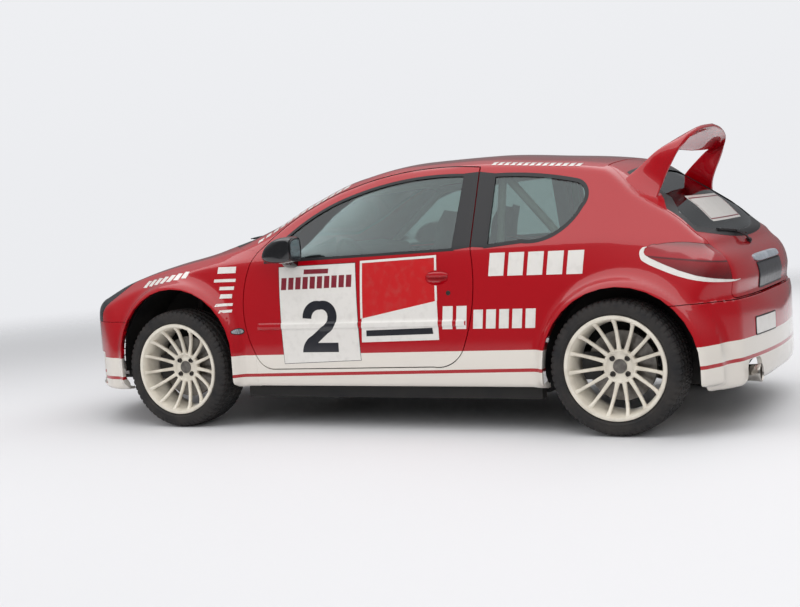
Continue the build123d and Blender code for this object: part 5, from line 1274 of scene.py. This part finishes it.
# The number panels: white vinyl with a thin black edge on each door, rows of plain bars at
# the head, and the start number cut from black vinyl.
PANEL = [(-403, 846), (52, 853), (72, 362), (-379, 346)]
on_both_sides("number_panel_edge", [sheet(grown(PANEL, 2.5), 0.2, 0.4)], black_vinyl)
on_both_sides("number_panel", [sheet(PANEL, 0.8, 0.4)], white_vinyl)
on_both_sides("number_panel_bars", [sheet(slanted(-252, 806, 146, 24, 2), 1.4, 0.3)]
              + [sheet(slanted(-388 + 43 * k, 728 + 0.6 * k, 31, 62, 3), 1.4, 0.3)
                 for k in range(10)], dark_red_vinyl)
numeral = traced(((6, 176), (38, 246), (108, 262)), ((108, 262), (182, 242), (208, 186)),
                 ((208, 186), (196, 138), (152, 96)),
                 ((92, 48), (212, 48)), ((212, 0), (0, 0)), ((0, 0), (14, 46), (60, 86)),
                 ((60, 86), (118, 130)),
                 ((118, 130), (148, 156), (154, 186)), ((154, 186), (142, 210), (108, 218)),
                 ((108, 218), (72, 206), (58, 172)))
for side, twin, way, start in (("left", lambda m: m, 1, -265), ("right", mirrored, -1, -57)):
    figure = twin(sheet([(start + way * y, 404 + z) for y, z in numeral][::way], 1.4, 0.4, 10.0))
    place(f"start_number_{side}", soft_edges(figure, 50), black_vinyl, f"{side}_door", "body")

# The second panels: a red vinyl field in a white frame over a white field, with one plain
# dark bar. The sheets are cut away round the handle's bowl.
bowl_room = egg((820, HANDLE_Y, HANDLE_Z), (60, 66, 38))
field = cut(sheet([(93, 560), (505, 640), (502, 862), (90, 850)], 0.4, 0.4), away=[bowl_room])
on_both_sides("door_panel_field", [field], bright_red_vinyl)
edge_strip = cut(sheet([(500, 650), (512, 652), (508, 864), (497, 864)], 1.0, 0.3),
                 away=[bowl_room])
on_both_sides("door_panel_white",
              [edge_strip, sheet([(84, 452), (516, 460), (510, 652), (88, 572)], 0.8, 0.4)]
              + [sheet(strip, 1.0, 0.3) for strip in (
                  [(81, 850), (508, 863), (508, 875), (81, 862)],
                  [(81, 572), (93, 574), (93, 851), (81, 851)])], white_vinyl)
on_both_sides("door_panel_bar", [sheet([(112, 482), (486, 490), (482, 520), (112, 512)], 1.4, 0.3)],
              black_vinyl)

# Rows of plain white vinyl blocks on quarter, door, wing, arch, roof rail and screen pillar,
# each cut and laid on the steel by itself.
on_both_sides("quarter_blocks",
              [sheet(slanted(786 + 99 * k, 763 - k, 78, 110, 8)) for k in range(5)], white_vinyl,
              CHASSIS)
on_both_sides("door_blocks", [sheet(slanted(536 + 74 * k, 512, 54, 112, 6)) for k in range(2)],
              white_vinyl)
on_both_sides("side_blocks", [sheet(slanted(700 + 68 * k, 512, 50, 92, 6)) for k in range(5)],
              white_vinyl, CHASSIS)
WING_BLOCKS = [(-790, 826, 116, 34), (-812, 780, 138, 16), (-776, 738, 92, 18), (-770, 694, 74, 22),
               (-776, 654, 84, 14), (-752, 620, 56, 14)]
on_both_sides("wing_blocks", [sheet(slanted(*row, 3)) for row in WING_BLOCKS], white_vinyl, CHASSIS)
on_both_sides("arch_blocks",
              [sheet(slanted(-1300 + 46 * k, 764 + 7.5 * k, 32, 34, 12), spacing=12.0)
               for k in range(7)], white_vinyl, CHASSIS)
on_both_sides("rail_blocks",
              [sheet(slanted(742 + 33 * k, 1298 - 2.7 * k, 22, 14, 3), spacing=10.0)
               for k in range(14)], white_vinyl, CHASSIS)
pillar_line = [(y, 976 + 0.619 * (y + 579) - 0.00021 * (y + 579) ** 2)
               for y in range(-584, -100, 40)]
on_both_sides("pillar_blocks",
              [sheet([(y, z), (y + 27, z + 15), (y + 21, z + 31), (y - 6, z + 16)], spacing=8.0)
               for y, z in pillar_line], white_vinyl, CHASSIS)

# The lamp crescents: a white vinyl sweep that hugs the front and lower edge of each tail lamp,
# widest below the lens and drawn out to a point behind.
foot = np.array([(rear(150), 868), (rear(140), 862)] + LAMP_FOOT[:-1] + [(rear(524), 695)])
run = np.gradient(foot, axis=0)
run /= np.hypot(*run.T)[:, None]
WIDTHS = np.array([2, 10, 20, 26, 28, 27, 25, 21, 16, 10, 3])
outwards = 1 if run[5, 1] < 0 else -1
outer_edge = foot + np.column_stack([run[:, 1], -run[:, 0]]) * WIDTHS[:, None] * outwards
crescent = [tuple(p) for p in rounded_run(outer_edge)] + [tuple(p) for p in foot[::-1]]
on_both_sides("lamp_crescent", [sheet(crescent, 0.3, 0.4, 12.0)], white_vinyl, CHASSIS)

# The door furniture: a red pull across a pressed bowl, a steel lock barrel under it, and the clear
# side repeater in each wing.
pull_x = laid([(HANDLE_Y, HANDLE_Z)], 0.0)[0, 0]
pull_rings = []
for step in range(25):
    share = -1 + 2 * step / 24
    depth = 11.0 * max(1 - abs(share) ** 3.2, 0.02) ** 0.5
    tall = 14.5 * max(1 - abs(share) ** 2.6, 0.02) ** 0.6
    arch = 7.0 * (1 - share * share)
    pull_rings.append([(pull_x - 3 + arch + depth * c, HANDLE_Y + 61 * share,
                        HANDLE_Z + 12 + 3 * (1 - share * share) + tall * s)
                       for c, s in (squared(2 * pi * k / 20, 0.8) for k in range(20))])
on_both_sides("door_pull", [lofted(pull_rings)], crimson)
lock_x = laid([(572, 688)], 0.0)[0, 0]
barrel = ring_mesh([(-4, 0.5), (-4, 12), (1.5, 12), (2.5, 11), (2.5, 8.5), (1.0, 8), (1.0, 0.5)],
                   32)
barrel.transform(Matrix.Translation((lock_x, 572, 688)))
on_both_sides("door_lock", [barrel], dark_steel, slot="trim")
oval = [(-653 + 29 * cos(2 * pi * k / 40), 518 + 13 * sin(2 * pi * k / 40)) for k in range(40)]
on_both_sides("side_repeater", [sheet(oval, 0.5, 4.0, 8.0)], bright_plate, CHASSIS, "lamp_clear")
on_both_sides("side_repeater_seal", [sheet(grown(oval, 4), 0.2, 1.6, 8.0)], rubber, CHASSIS, "trim")

# The door mirrors: gloss black moulded shells on a rounded foot that is screwed to the door,
# flat at the back, with a rubber bezel round the silvered glass.
gloss_black, wires = new_finish("gloss_black")
spot = wires.node("TexCoord", output=3)
haze = wires.node("TexNoise", None, {"Vector": spot, "Scale": 40.0, "Detail": 4.0})
polish(wires, Base_Color=haze.blend(tint(8, 9, 12), tint(18, 19, 23)), Roughness=haze * 0.12 + 0.12,
       Coat_Weight=0.8, Coat_Roughness=0.03)
mirror_glass, wires = new_finish("mirror_glass")
spot = wires.node("TexCoord", output=3)
haze = wires.node("TexNoise", None, {"Vector": spot, "Scale": 60.0, "Detail": 3.0})
polish(wires, Base_Color=haze.blend(tint(186, 192, 198), tint(204, 209, 214)), Metallic=1.0,
       Roughness=haze * 0.03 + 0.02)


def rounded(corners, count):
    """A smooth closed curve through some corners."""
    points = np.array(corners, float)
    size, curve = len(points), []
    for k in range(count):
        place_on = k * size / count
        i, t = int(place_on), place_on % 1
        a, b, c, d = (points[(i + j) % size] for j in (-1, 0, 1, 2))
        curve.append(0.5 * (2 * b + (c - a) * t + (2 * a - 5 * b + 4 * c - d) * t * t
                            + (3 * b - a - 3 * c + d) * t ** 3))
    return np.array(curve)


shell_outline = rounded([(-424, 906), (-404, 952), (-362, 984), (-318, 1001), (-270, 1006),
                         (-238, 1000), (-229, 976), (-227, 944),
                         (-229, 908), (-240, 884), (-266, 874), (-310, 871), (-360, 873),
                         (-404, 884)], 70)
shell_rings = []
for x, size in ((850, 0.70), (851, 0.84), (856, 0.94), (866, 0.99), (884, 1.0), (912, 1.0),
                (932, 0.97), (947, 0.92), (958, 0.84), (965, 0.73), (969, 0.58), (970, 0.42)):
    shell_rings.append([(x, -229 + (y + 229) * size, 941 + (z - 941) * (0.35 + 0.65 * size))
                        for y, z in shell_outline])
foot_rings = []
for x, middle_y, middle_z, half_y, half_z in (
        (782, -327, 862, 40, 23), (800, -327, 864, 40, 24), (825, -326, 870, 38, 22),
        (848, -324, 880, 35, 18), (868, -322, 890, 33, 15)):
    foot_rings.append([(x, middle_y + half_y * c, middle_z + half_z * s)
                       for c, s in (squared(2 * pi * k / 28, 0.75) for k in range(28))])
foot = cut(lofted(foot_rings), away=[slab((640, -420, 820), (840, -220, 930), 0, -60, 14)])
glass_outline = rounded([(864, 905), (866, 975), (880, 991), (930, 986), (953, 970), (957, 930),
                         (950, 902), (930, 889), (882, 887)], 48)
pane_rings = [[(x, y, z) for x, z in glass_outline] for y in (-229, -226.2)]
bezel_rings = [[(x, y, z) for x, z in np.array(grown([tuple(p) for p in glass_outline], gap))]
               for y, gap in ((-236, 7), (-226, 7), (-224.5, 5.5), (-224.5, 1.5), (-226.5, 0.5))]
for side, twin in SIDES:
    body = f"{side}_door"
    place(f"mirror_shell_{side}", soft_edges(twin(together(lofted(shell_rings), foot)), 50),
          gloss_black, body, "mirror_shell", f"mirror_{side}")
    place(f"mirror_bezel_{side}", soft_edges(twin(lofted(bezel_rings)), 40), rubber, body, "trim")
    place(f"mirror_pane_{side}", twin(lofted(pane_rings)), mirror_glass, body, "mirror_shell")

# The rear wing: one moulded hoop in body colour, its blades widest where they stand on the
# tailgate. Its thick rear rim runs all the way round.
WING_STATIONS = np.array([
    (0.00, 566, 1350, 1118, 590, 1556, 1004), (0.12, 552, 1383, 1160, 562, 1554, 1062),
    (0.25, 522, 1418, 1198, 516, 1560, 1108),
    (0.38, 497, 1455, 1230, 484, 1574, 1156), (0.50, 486, 1496, 1266, 472, 1595, 1207),
    (0.60, 480, 1532, 1297, 461, 1618, 1253),
    (0.68, 468, 1555, 1313, 444, 1642, 1302), (0.76, 438, 1572, 1320, 408, 1664, 1343),
    (0.84, 380, 1581, 1320, 352, 1683, 1381),
    (0.92, 220, 1587, 1314, 180, 1702, 1418), (1.00, 0, 1589, 1310, 0, 1709, 1430)])
path = eased(WING_STATIONS[:, 0], WING_STATIONS[:, 1:], np.linspace(0, 1, 49))
lead, trail = path[:, :3], path[:, 3:]
run = np.gradient((lead + trail) / 2, axis=0)
hoop = []
for k in range(len(path)):
    chord = trail[k] - lead[k]
    face_out = np.cross(run[k], chord)
    face_out /= np.linalg.norm(face_out)
    ring = []
    for step in range(36):
        c, s = squared(2 * pi * step / 36, 0.45)
        share = 0.5 + 0.5 * c
        thick = 7.5 + 7.5 * share ** 5 + 3.0 * (1 - share)
        belly = 10.0 * sin(pi * share)
        ring.append(lead[k] + chord * share + face_out * (thick * s - belly))
    hoop.append(np.array(ring))
hoop += [ring * (-1, 1, 1) for ring in reversed(hoop[:-1])]
wing_mesh = cut(lofted(hoop),
                away=[slab((-560, rear(-120), 900), (560, rear(330), 1330), 0, -120, 20)])
place("rear_wing_hoop", soft_edges(wing_mesh, 50), crimson, "tailgate_lid", "body", "rear_wing")

# The seats: black composite buckets on two rails, with crowned cloth cushions and a harness.
# Drawn round the left seat; each cushion is blown up a little by a cloth run.
SEAT_MIDDLE = 370.0
SEAT_LINE = np.array([
    (0.00, front(884), 322, 178, 66), (0.12, front(930), 330, 182, 84),
    (0.30, front(1060), 320, 178, 112), (0.42, front(1190), 318, 176, 150),
    (0.50, front(1270), 346, 178, 185), (0.60, front(1338), 470, 184, 180),
    (0.72, front(1400), 640, 190, 150),
    (0.84, front(1460), 812, 192, 120), (0.90, front(1490), 900, 168, 64),
    (0.95, front(1512), 985, 128, 84), (1.00, front(1534), 1075, 110, 60)])


def seat_frame(share):
    """Places, outward directions, half widths and wing heights along the seat's middle line."""
    rows = eased(SEAT_LINE[:, 0], SEAT_LINE[:, 1:], np.asarray(share, float))
    run = np.gradient(rows[:, :2], axis=0)
    run /= np.hypot(*run.T)[:, None]
    return rows, np.column_stack([-run[:, 1], run[:, 0]])


def seat_sheet(shares, across, lift):
    """Points over the seat: along it, across it from -1 to 1, and lifted off its hollow."""
    rows, up_way = seat_frame(shares)
    grid_share, grid_across = np.meshgrid(np.arange(len(shares)), across, indexing="ij")
    height = rows[grid_share, 3] * np.abs(grid_across) ** 3.4 + lift
    x = SEAT_MIDDLE + rows[grid_share, 2] * (grid_across - 0.08 * grid_across ** 3)
    y = rows[grid_share, 0] + up_way[grid_share, 0] * height
    z = rows[grid_share, 1] + up_way[grid_share, 1] * height
    return np.stack([x, y, z], axis=-1)


def shell_mesh(shares, across, low, high):
    """A closed piece between two lifted sheets over the seat."""
    rings = np.concatenate([seat_sheet(shares, across, high),
                            seat_sheet(shares, across, low)[:, ::-1]], axis=1)
    return lofted(list(rings))


along_seat, across_seat = np.linspace(0.0, 1.0, 60), np.linspace(-1.0, 1.0, 33)
bucket = shell_mesh(along_seat, across_seat, -9.0, 0.0)
rails = [block((SEAT_MIDDLE + x - 14, front(950), 182),
               (SEAT_MIDDLE + x + 14, front(1270), 300)) for x in (-178, 178)]
composite, wires = new_finish("black_composite")
spot = wires.node("TexCoord", output=3)
twill = wires.node("TexChecker", None,
                   {"Vector": spot, "Scale": 260.0, "Color1": tint(20, 20, 22),
                    "Color2": tint(34, 34, 37)})
scuff = wires.node("TexNoise", None, {"Vector": spot, "Scale": 18.0, "Detail": 4.0})
polish(wires, Base_Color=twill, Roughness=scuff * 0.2 + 0.22, Coat_Weight=0.5, Coat_Roughness=0.08)
seat_cloth, wires = new_finish("seat_cloth")
spot = wires.node("TexCoord", output=3)
threads = [wires.node("TexWave", {"bands_direction": way},
                      {"Vector": spot, "Scale": 420.0, "Distortion": 0.5, "Detail": 1.0}, 1)
           for way in ("X", "Y", "Z")]
weave = threads[0] * 0.34 + threads[1] * 0.33 + threads[2] * 0.33
fade = wires.node("TexNoise", None, {"Vector": spot, "Scale": 11.0, "Detail": 5.0})
polish(wires, Base_Color=(weave * 0.5 + fade * 0.5).blend(tint(22, 24, 34), tint(58, 60, 72)),
       Roughness=fade * 0.1 + 0.85, Sheen_Weight=0.3, Sheen_Roughness=0.5,
       Normal=wires.node("Bump", None, {"Strength": 0.5, "Distance": 0.0012, "Height": weave}))
webbing, wires = new_finish("harness_webbing")
spot = wires.node("TexCoord", output=3)
ribs = wires.node("TexWave", {"bands_direction": "DIAGONAL"},
                  {"Vector": spot, "Scale": 160.0, "Distortion": 0.0}, 1)
fade = wires.node("TexNoise", None, {"Vector": spot, "Scale": 20.0, "Detail": 4.0})
polish(wires, Base_Color=(ribs * 0.4 + fade * 0.4).blend(tint(126, 10, 20), tint(176, 36, 44)),
       Roughness=fade * 0.1 + 0.7,
       Normal=wires.node("Bump", None, {"Strength": 0.4, "Distance": 0.001, "Height": ribs}))


def cushion_mesh(start, stop, reach, thick, low=3.0):
    """A crowned cushion in the bucket's hollow, its sides pulled in between the corners."""
    shares = np.linspace(start, stop, 26)
    across = np.linspace(-reach, reach, 22)
    u, v = np.linspace(-1, 1, 26)[:, None], np.linspace(-1, 1, 22)[None, :]
    crown = (1 - u ** 6) ** 0.5 * (1 - v ** 6) ** 0.5
    top = seat_sheet(shares, across, low + 2 + thick * crown * (0.86 + 0.14 * np.cos(v * 2.2)))
    under = seat_sheet(shares, across, low)
    waist = 1 - 0.05 * (1 - u ** 2) * np.ones_like(v)
    for rows in (top, under):
        rows[..., 0] = SEAT_MIDDLE + (rows[..., 0] - SEAT_MIDDLE) * waist
    return lofted(list(np.concatenate([top, under[:, ::-1]], axis=1)))


def blown(mesh, cap=9.0):
    """The cushion after a short cloth run under pressure, no point moving further than a cap."""
    mesh.transform(Matrix.Scale(0.001, 4))
    work = plain_object("blown", mesh)
    step = work.modifiers.new("even", "REMESH")
    step.mode, step.voxel_size = "VOXEL", 0.008
    bpy.context.view_layer.update()
    even = outcome(work)
    work.modifiers.clear()
    work.data = even
    start = np.array([tuple(v.co) for v in even.vertices])
    cloth_run = work.modifiers.new("air", "CLOTH")
    cloth_run.settings.use_pressure = True
    cloth_run.settings.uniform_pressure_force = 4.0
    cloth_run.settings.effector_weights.gravity = 0.0
    for frame_number in range(1, 15):
        bpy.context.scene.frame_set(frame_number)
    moved = outcome(work)
    bpy.context.scene.frame_set(1)
    shift = np.array([tuple(v.co) for v in moved.vertices]) - start
    size = np.linalg.norm(shift, axis=1, keepdims=True)
    start = start + shift * np.minimum(1, cap * 0.001 / np.maximum(size, 1e-9))
    even.vertices.foreach_set("co", start.ravel())
    work.modifiers.clear()
    step = work.modifiers.new("smooth", "SMOOTH")
    step.factor, step.iterations = 0.5, 6
    step = work.modifiers.new("fine", "SUBSURF")
    step.levels = 1
    bpy.context.view_layer.update()
    result = outcome(work)
    bpy.data.objects.remove(work)
    result.transform(Matrix.Scale(1000, 4))
    return result


cushions = {name: blown(cushion_mesh(*sizes)) for name, sizes in {
    "base": (0.03, 0.47, 0.80, 42.0), "back": (0.56, 0.86, 0.78, 32.0),
    "head": (0.915, 0.985, 0.72, 30.0)}.items()}


def strap(points, width_way, half_width=24.0, thick=1.4):
    """A flat belt along some points, its width along one direction."""
    line = rounded_run(points, 50)
    run = np.gradient(line, axis=0)
    wide = np.cross(np.cross(run, width_way), run)
    wide = wide / np.linalg.norm(wide, axis=1, keepdims=True) * half_width
    flat_way = np.cross(run, wide)
    flat_way = flat_way / np.linalg.norm(flat_way, axis=1, keepdims=True) * thick
    return lofted([np.array([p - w - f, p + w - f, p + w + f, p - w + f])
                   for p, w, f in zip(line, wide, flat_way)])


belts = []
chest = {share: seat_sheet([share, share + 0.001], [0.0], lift)[0, 0] for share, lift in (
    (0.42, 74), (0.50, 78), (0.62, 64), (0.75, 56), (0.86, 50), (0.905, 34))}
for way in (-1, 1):
    offsets = {0.42: 16, 0.50: 34, 0.62: 66, 0.75: 74, 0.86: 66, 0.905: 62}
    line = [chest[share] + np.array((way * offsets[share], 0, 0)) for share in offsets]
    line += [np.array((SEAT_MIDDLE + way * 60, front(1590), 890)),
             np.array((SEAT_MIDDLE + way * 70, front(1790), 724))]
    belts.append(strap(line, (1, 0, 0)))
    lap = [chest[0.42] + np.array((way * 12, 0, 0)), chest[0.42] + np.array((way * 90, 24, -8)),
           chest[0.42] + np.array((way * 142, 52, 2)), chest[0.42] + np.array((way * 168, 84, 36))]
    belts.append(strap(lap, (0, -0.6, 1)))
buckle = ring_mesh([(-7, 0.5), (-7, 27), (-3, 30), (3, 30), (7, 27), (7, 14), (5, 13), (5, 0.5)],
                   40)
buckle.transform(Matrix.Rotation(pi / 2, 4, "Y"))
buckle.transform(Matrix.Translation(Vector(chest[0.42]) + Vector((0, -4, 5))))
for side, twin in SIDES:
    stands_for = ["seats"] if side == "left" else []
    place(f"seat_bucket_{side}", soft_edges(twin(together(bucket, *rails)), 50), composite,
          "chassis", "seat", *stands_for)
    for name, mesh in cushions.items():
        pad = place(f"seat_{name}_{side}", soft_edges(twin(mesh), 60), seat_cloth, "chassis",
                    "seat")
    place(f"harness_{side}", twin(together(*belts)), webbing, "chassis", "seat")
    place(f"harness_buckle_{side}", soft_edges(twin(buckle), 40), dark_steel, "chassis", "iron")

# The door cards: flat boards trimmed in flock, clipped inside the doors below the waist, with
# a webbing pull strap on each.
card_mesh = cut(slab(door_low, door_high, -41.5, -47, 22),
                keep=[prism(grown(DOOR, -26), "x", 300, WIDE),
                      block((300, front(420), 340), (900, front(1770), 862))])
door_pull_strap = strap([(742, front(1300), 700), (726, front(1340), 708), (724, front(1440), 712),
                         (742, front(1480), 706)], (0, 0, 1), 13.0, 2.0)
for side, twin in SIDES:
    place(f"door_card_{side}", twin(card_mesh), flock, f"{side}_door", "trim", levels=(-41.5, -47))
    place(f"door_strap_{side}", twin(door_pull_strap), webbing, f"{side}_door", "trim")


# The tail: a bar lamp over a dark blank plate on the tailgate, a blank plate on the bumper, a white
# label inside the rear glass, and the rear wiper across its foot.
def laid_behind(points, lift):
    """Points seen from behind, laid on the skin's rear."""
    x, z = np.array(points, float).T
    inside, outside = np.full_like(x, rear(-100)), np.full_like(x, 2100.0)
    y, _ = halved(lambda y: (x, y, z), inside, outside, lift, 22)
    return np.column_stack([x, y, z])


def rear_sheet(outline, lift=0.5, thickness=0.5, spacing=22.0):
    """A thin sheet inside an outline seen from behind."""
    flat, faces = pattern(outline, spacing)
    return closed_sheet(flat, faces, laid_behind(flat, lift + thickness),
                        laid_behind(flat, lift - 0.4))


place("tailgate_plate", soft_edges(rear_sheet(pill((-258, 632), (258, 742), 8), 2.0, 3.0), 40),
      black_vinyl, "tailgate_lid", "trim")
place("tailgate_plate_rim", soft_edges(rear_sheet(pill((-264, 626), (264, 748), 12), 0.5, 3.0), 40),
      rubber, "tailgate_lid", "trim")
bar_grey = noisy_finish("satin_silver_plastic", tint(132, 138, 146), tint(164, 170, 178), 30.0, 0.5,
                        bump=0.05)
lamp_bar = egg((0, 0, 770), (272, 15, 18), 0.45, 24, 96)
for vertex, on_skin in zip(lamp_bar.vertices,
                           laid_behind([v.co.xz for v in lamp_bar.vertices], 0.5)):
    vertex.co.y += on_skin[1]
place("tailgate_lamp_bar", soft_edges(lamp_bar, 60), bar_grey, "tailgate_lid", "trim")
place("bumper_plate", soft_edges(rear_sheet(pill((150, 424), (440, 500), 6), 2.0, 1.5), 40),
      white_vinyl, "chassis", "trim")
place("bumper_plate_rim", soft_edges(rear_sheet(pill((144, 418), (446, 506), 9), 0.5, 2.2), 40),
      rubber, "chassis", "trim")
place("rear_label", soft_edges(rear_sheet(pill((-300, 955), (300, 1085), 14), PANE + 0.5, 0.5), 40),
      white_vinyl, "tailgate_lid", "trim")
frame_lines = [rear_sheet(pill((x0, z0), (x1, z1), 1), PANE + 1.2, 0.4, 30.0)
               for x0, z0, x1, z1 in ((-290, 1070, 290, 1075), (-290, 965, 290, 970),
                                      (-290, 970, -285, 1070), (285, 970, 290, 1070))]
place("rear_label_frame", soft_edges(together(*frame_lines), 40), dark_red_vinyl, "tailgate_lid",
      "trim")


def rod(points, radius, sides=12):
    """A round bar along some points."""
    line = rounded_run(points, (len(points) - 1) * 12 + 1)
    run = np.gradient(line, axis=0)
    side_way = np.cross(run, (0.13, 0.27, 0.95))
    side_way /= np.linalg.norm(side_way, axis=1, keepdims=True)
    other_way = np.cross(run, side_way)
    other_way /= np.linalg.norm(other_way, axis=1, keepdims=True)
    turns = 2 * pi * np.arange(sides)[:, None] / sides
    return lofted([p + radius * (np.cos(turns) * a + np.sin(turns) * b)
                   for p, a, b in zip(line, side_way, other_way)])


def wiper(blade, pivot, knee, surface):
    """A wiper: a rubber blade lying on the glass, a sprung arm and its pivot's cap."""
    halfway = ((blade[0][0] + blade[-1][0]) / 2, (blade[0][1] + blade[-1][1]) / 2)
    lifts = ((pivot, 10.0), (knee, 22.0), (halfway, 15.0))
    arm = [surface([point], lift)[0] for point, lift in lifts]
    cap = egg(tuple(surface([pivot], 4.0)[0]), (15, 15, 15), 0.8, 12, 24)
    return together(rod(surface(blade, 7.0), 4.5), rod(surface(blade, 12.0), 3.0), rod(arm, 5.0),
                    cap)


rear_blade = [(40 + 42 * k, 884 + 6.2 * k - 0.2 * k * k) for k in range(10)]
place("rear_wiper", soft_edges(wiper(rear_blade, (60, 846), (140, 878), laid_behind), 50), rubber,
      "tailgate_lid", "trim")


def laid_ahead(points, lift):
    """Points seen from ahead, laid on the windscreen and the cowl."""
    x, z = np.array(points, float).T
    inside, outside = np.full_like(x, front(1200)), np.full_like(x, NOSE_Y - 100)
    y, _ = halved(lambda y: (x, y, z), inside, outside, lift, 22)
    return np.column_stack([x, y, z])


for name, start in (("left", 30), ("right", -470)):
    blade = [(start + 54 * k, 1002 + 2 * k - 0.3 * k * k) for k in range(10)]
    place(f"front_wiper_{name}",
          soft_edges(wiper(blade, (start + 20, 976), (start + 120, 994), laid_ahead), 50), rubber,
          "chassis", "trim")


# The nose: a blank white plate in a shallow pocket of the bumper, and four quick-release
# steel pins that hold the bonnet down.
def nose_sheet(outline, lift, thickness):
    """A thin sheet inside an outline seen from ahead."""
    flat, faces = pattern(outline, 20.0)
    return closed_sheet(flat, faces, laid_ahead(flat, lift + thickness),
                        laid_ahead(flat, lift - 0.4))


place("nose_plate", soft_edges(nose_sheet(pill(*NOSE_PLATE, 8), -3.5, 2.5), 40), white_vinyl,
      "chassis", "trim")


def laid_above(points, lift):
    """Points seen from above, laid on the bonnet."""
    x, y = np.array(points, float).T
    z, _ = halved(lambda z: (x, y, z), np.full_like(x, 400.0), np.full_like(x, 1500.0), lift, 22)
    return np.column_stack([x, y, z])


pins = []
for x in (-380, 380):
    for y in (front(-560), front(90)):
        spot_on = laid_above([(x, y)], 0.0)[0]
        pin = ring_mesh([(-3, 0.5), (-3, 22), (1.5, 22), (3, 20), (3, 9), (11, 7), (13, 4),
                         (13, 0.5)], 28)
        pin.transform(Matrix.Rotation(-pi / 2, 4, "Y"))
        pin.transform(Matrix.Translation(Vector(spot_on)))
        pins.append(pin)
place("bonnet_pins", soft_edges(together(*pins), 40), dark_steel, "bonnet_lid", "iron")

# The tail pipe's tip: a polished steel sleeve with a rolled lip, pushed over the pipe's end
# and held by a band clamp.
TIP_X, TIP_Z = 500.0, 250.0
sleeve = [(rear(505), 32.6), (rear(505), 35.5), (rear(512), 37), (rear(574), 41), (rear(584), 43.5),
          (rear(589), 42.5), (rear(590), 40), (rear(586), 38), (rear(560), 36.5), (rear(524), 33)]
band = [(rear(516), 36), (rear(516), 40), (rear(528), 40.5), (rear(528), 36.5)]
tip_rings = [ring_mesh(profile, 72) for profile in (sleeve, band)]
for ring in tip_rings:
    ring.transform(Matrix.Rotation(pi / 2, 4, "Z"))
    ring.transform(Matrix.Translation((TIP_X, 0, TIP_Z)))
bright_steel = noisy_finish("polished_steel", tint(150, 145, 138), tint(196, 192, 186), 24.0, 0.2,
                            metal=1.0, bump=0.03)
place("exhaust_tip", soft_edges(together(*tip_rings), 40), bright_steel, "chassis", "exhaust")

# The rear arch liners: black moulded sheets behind each wheel, clipped between the boot floor and
# the bumper's edge, with a wall on the inside that closes the arch off from the silencer.
LINER_REACH, LINER_BACK, LINER_INSIDE, LINER_OUTSIDE = REAR_ARCH[2] + 8.0, 3.0, 600.0, 778.0
liner_turns = np.radians(np.linspace(-17, 62, 28))


def on_arch(reach, turn):
    """A place round the rear arch's centre, seen from the side."""
    return REAR_ARCH[0] + reach * cos(turn), REAR_ARCH[1] + reach * sin(turn)


hoop = lofted([[(x, *on_arch(reach, turn)) for x, reach in (
    (LINER_INSIDE, LINER_REACH), (LINER_OUTSIDE, LINER_REACH),
    (LINER_OUTSIDE, LINER_REACH + LINER_BACK), (LINER_INSIDE, LINER_REACH + LINER_BACK))]
    for turn in liner_turns])
wall_edge = [on_arch(LINER_REACH + 2, turn) for turn in liner_turns]
wall_edge += [(rear(160), wall_edge[-1][1]), (rear(270), wall_edge[0][1])]
wall = lofted([[(x, y, z) for y, z in wall_edge]
               for x in (LINER_INSIDE - LINER_BACK, LINER_INSIDE)])
on_both_sides("arch_liner", [hoop, wall], coating, CHASSIS, "underbody")
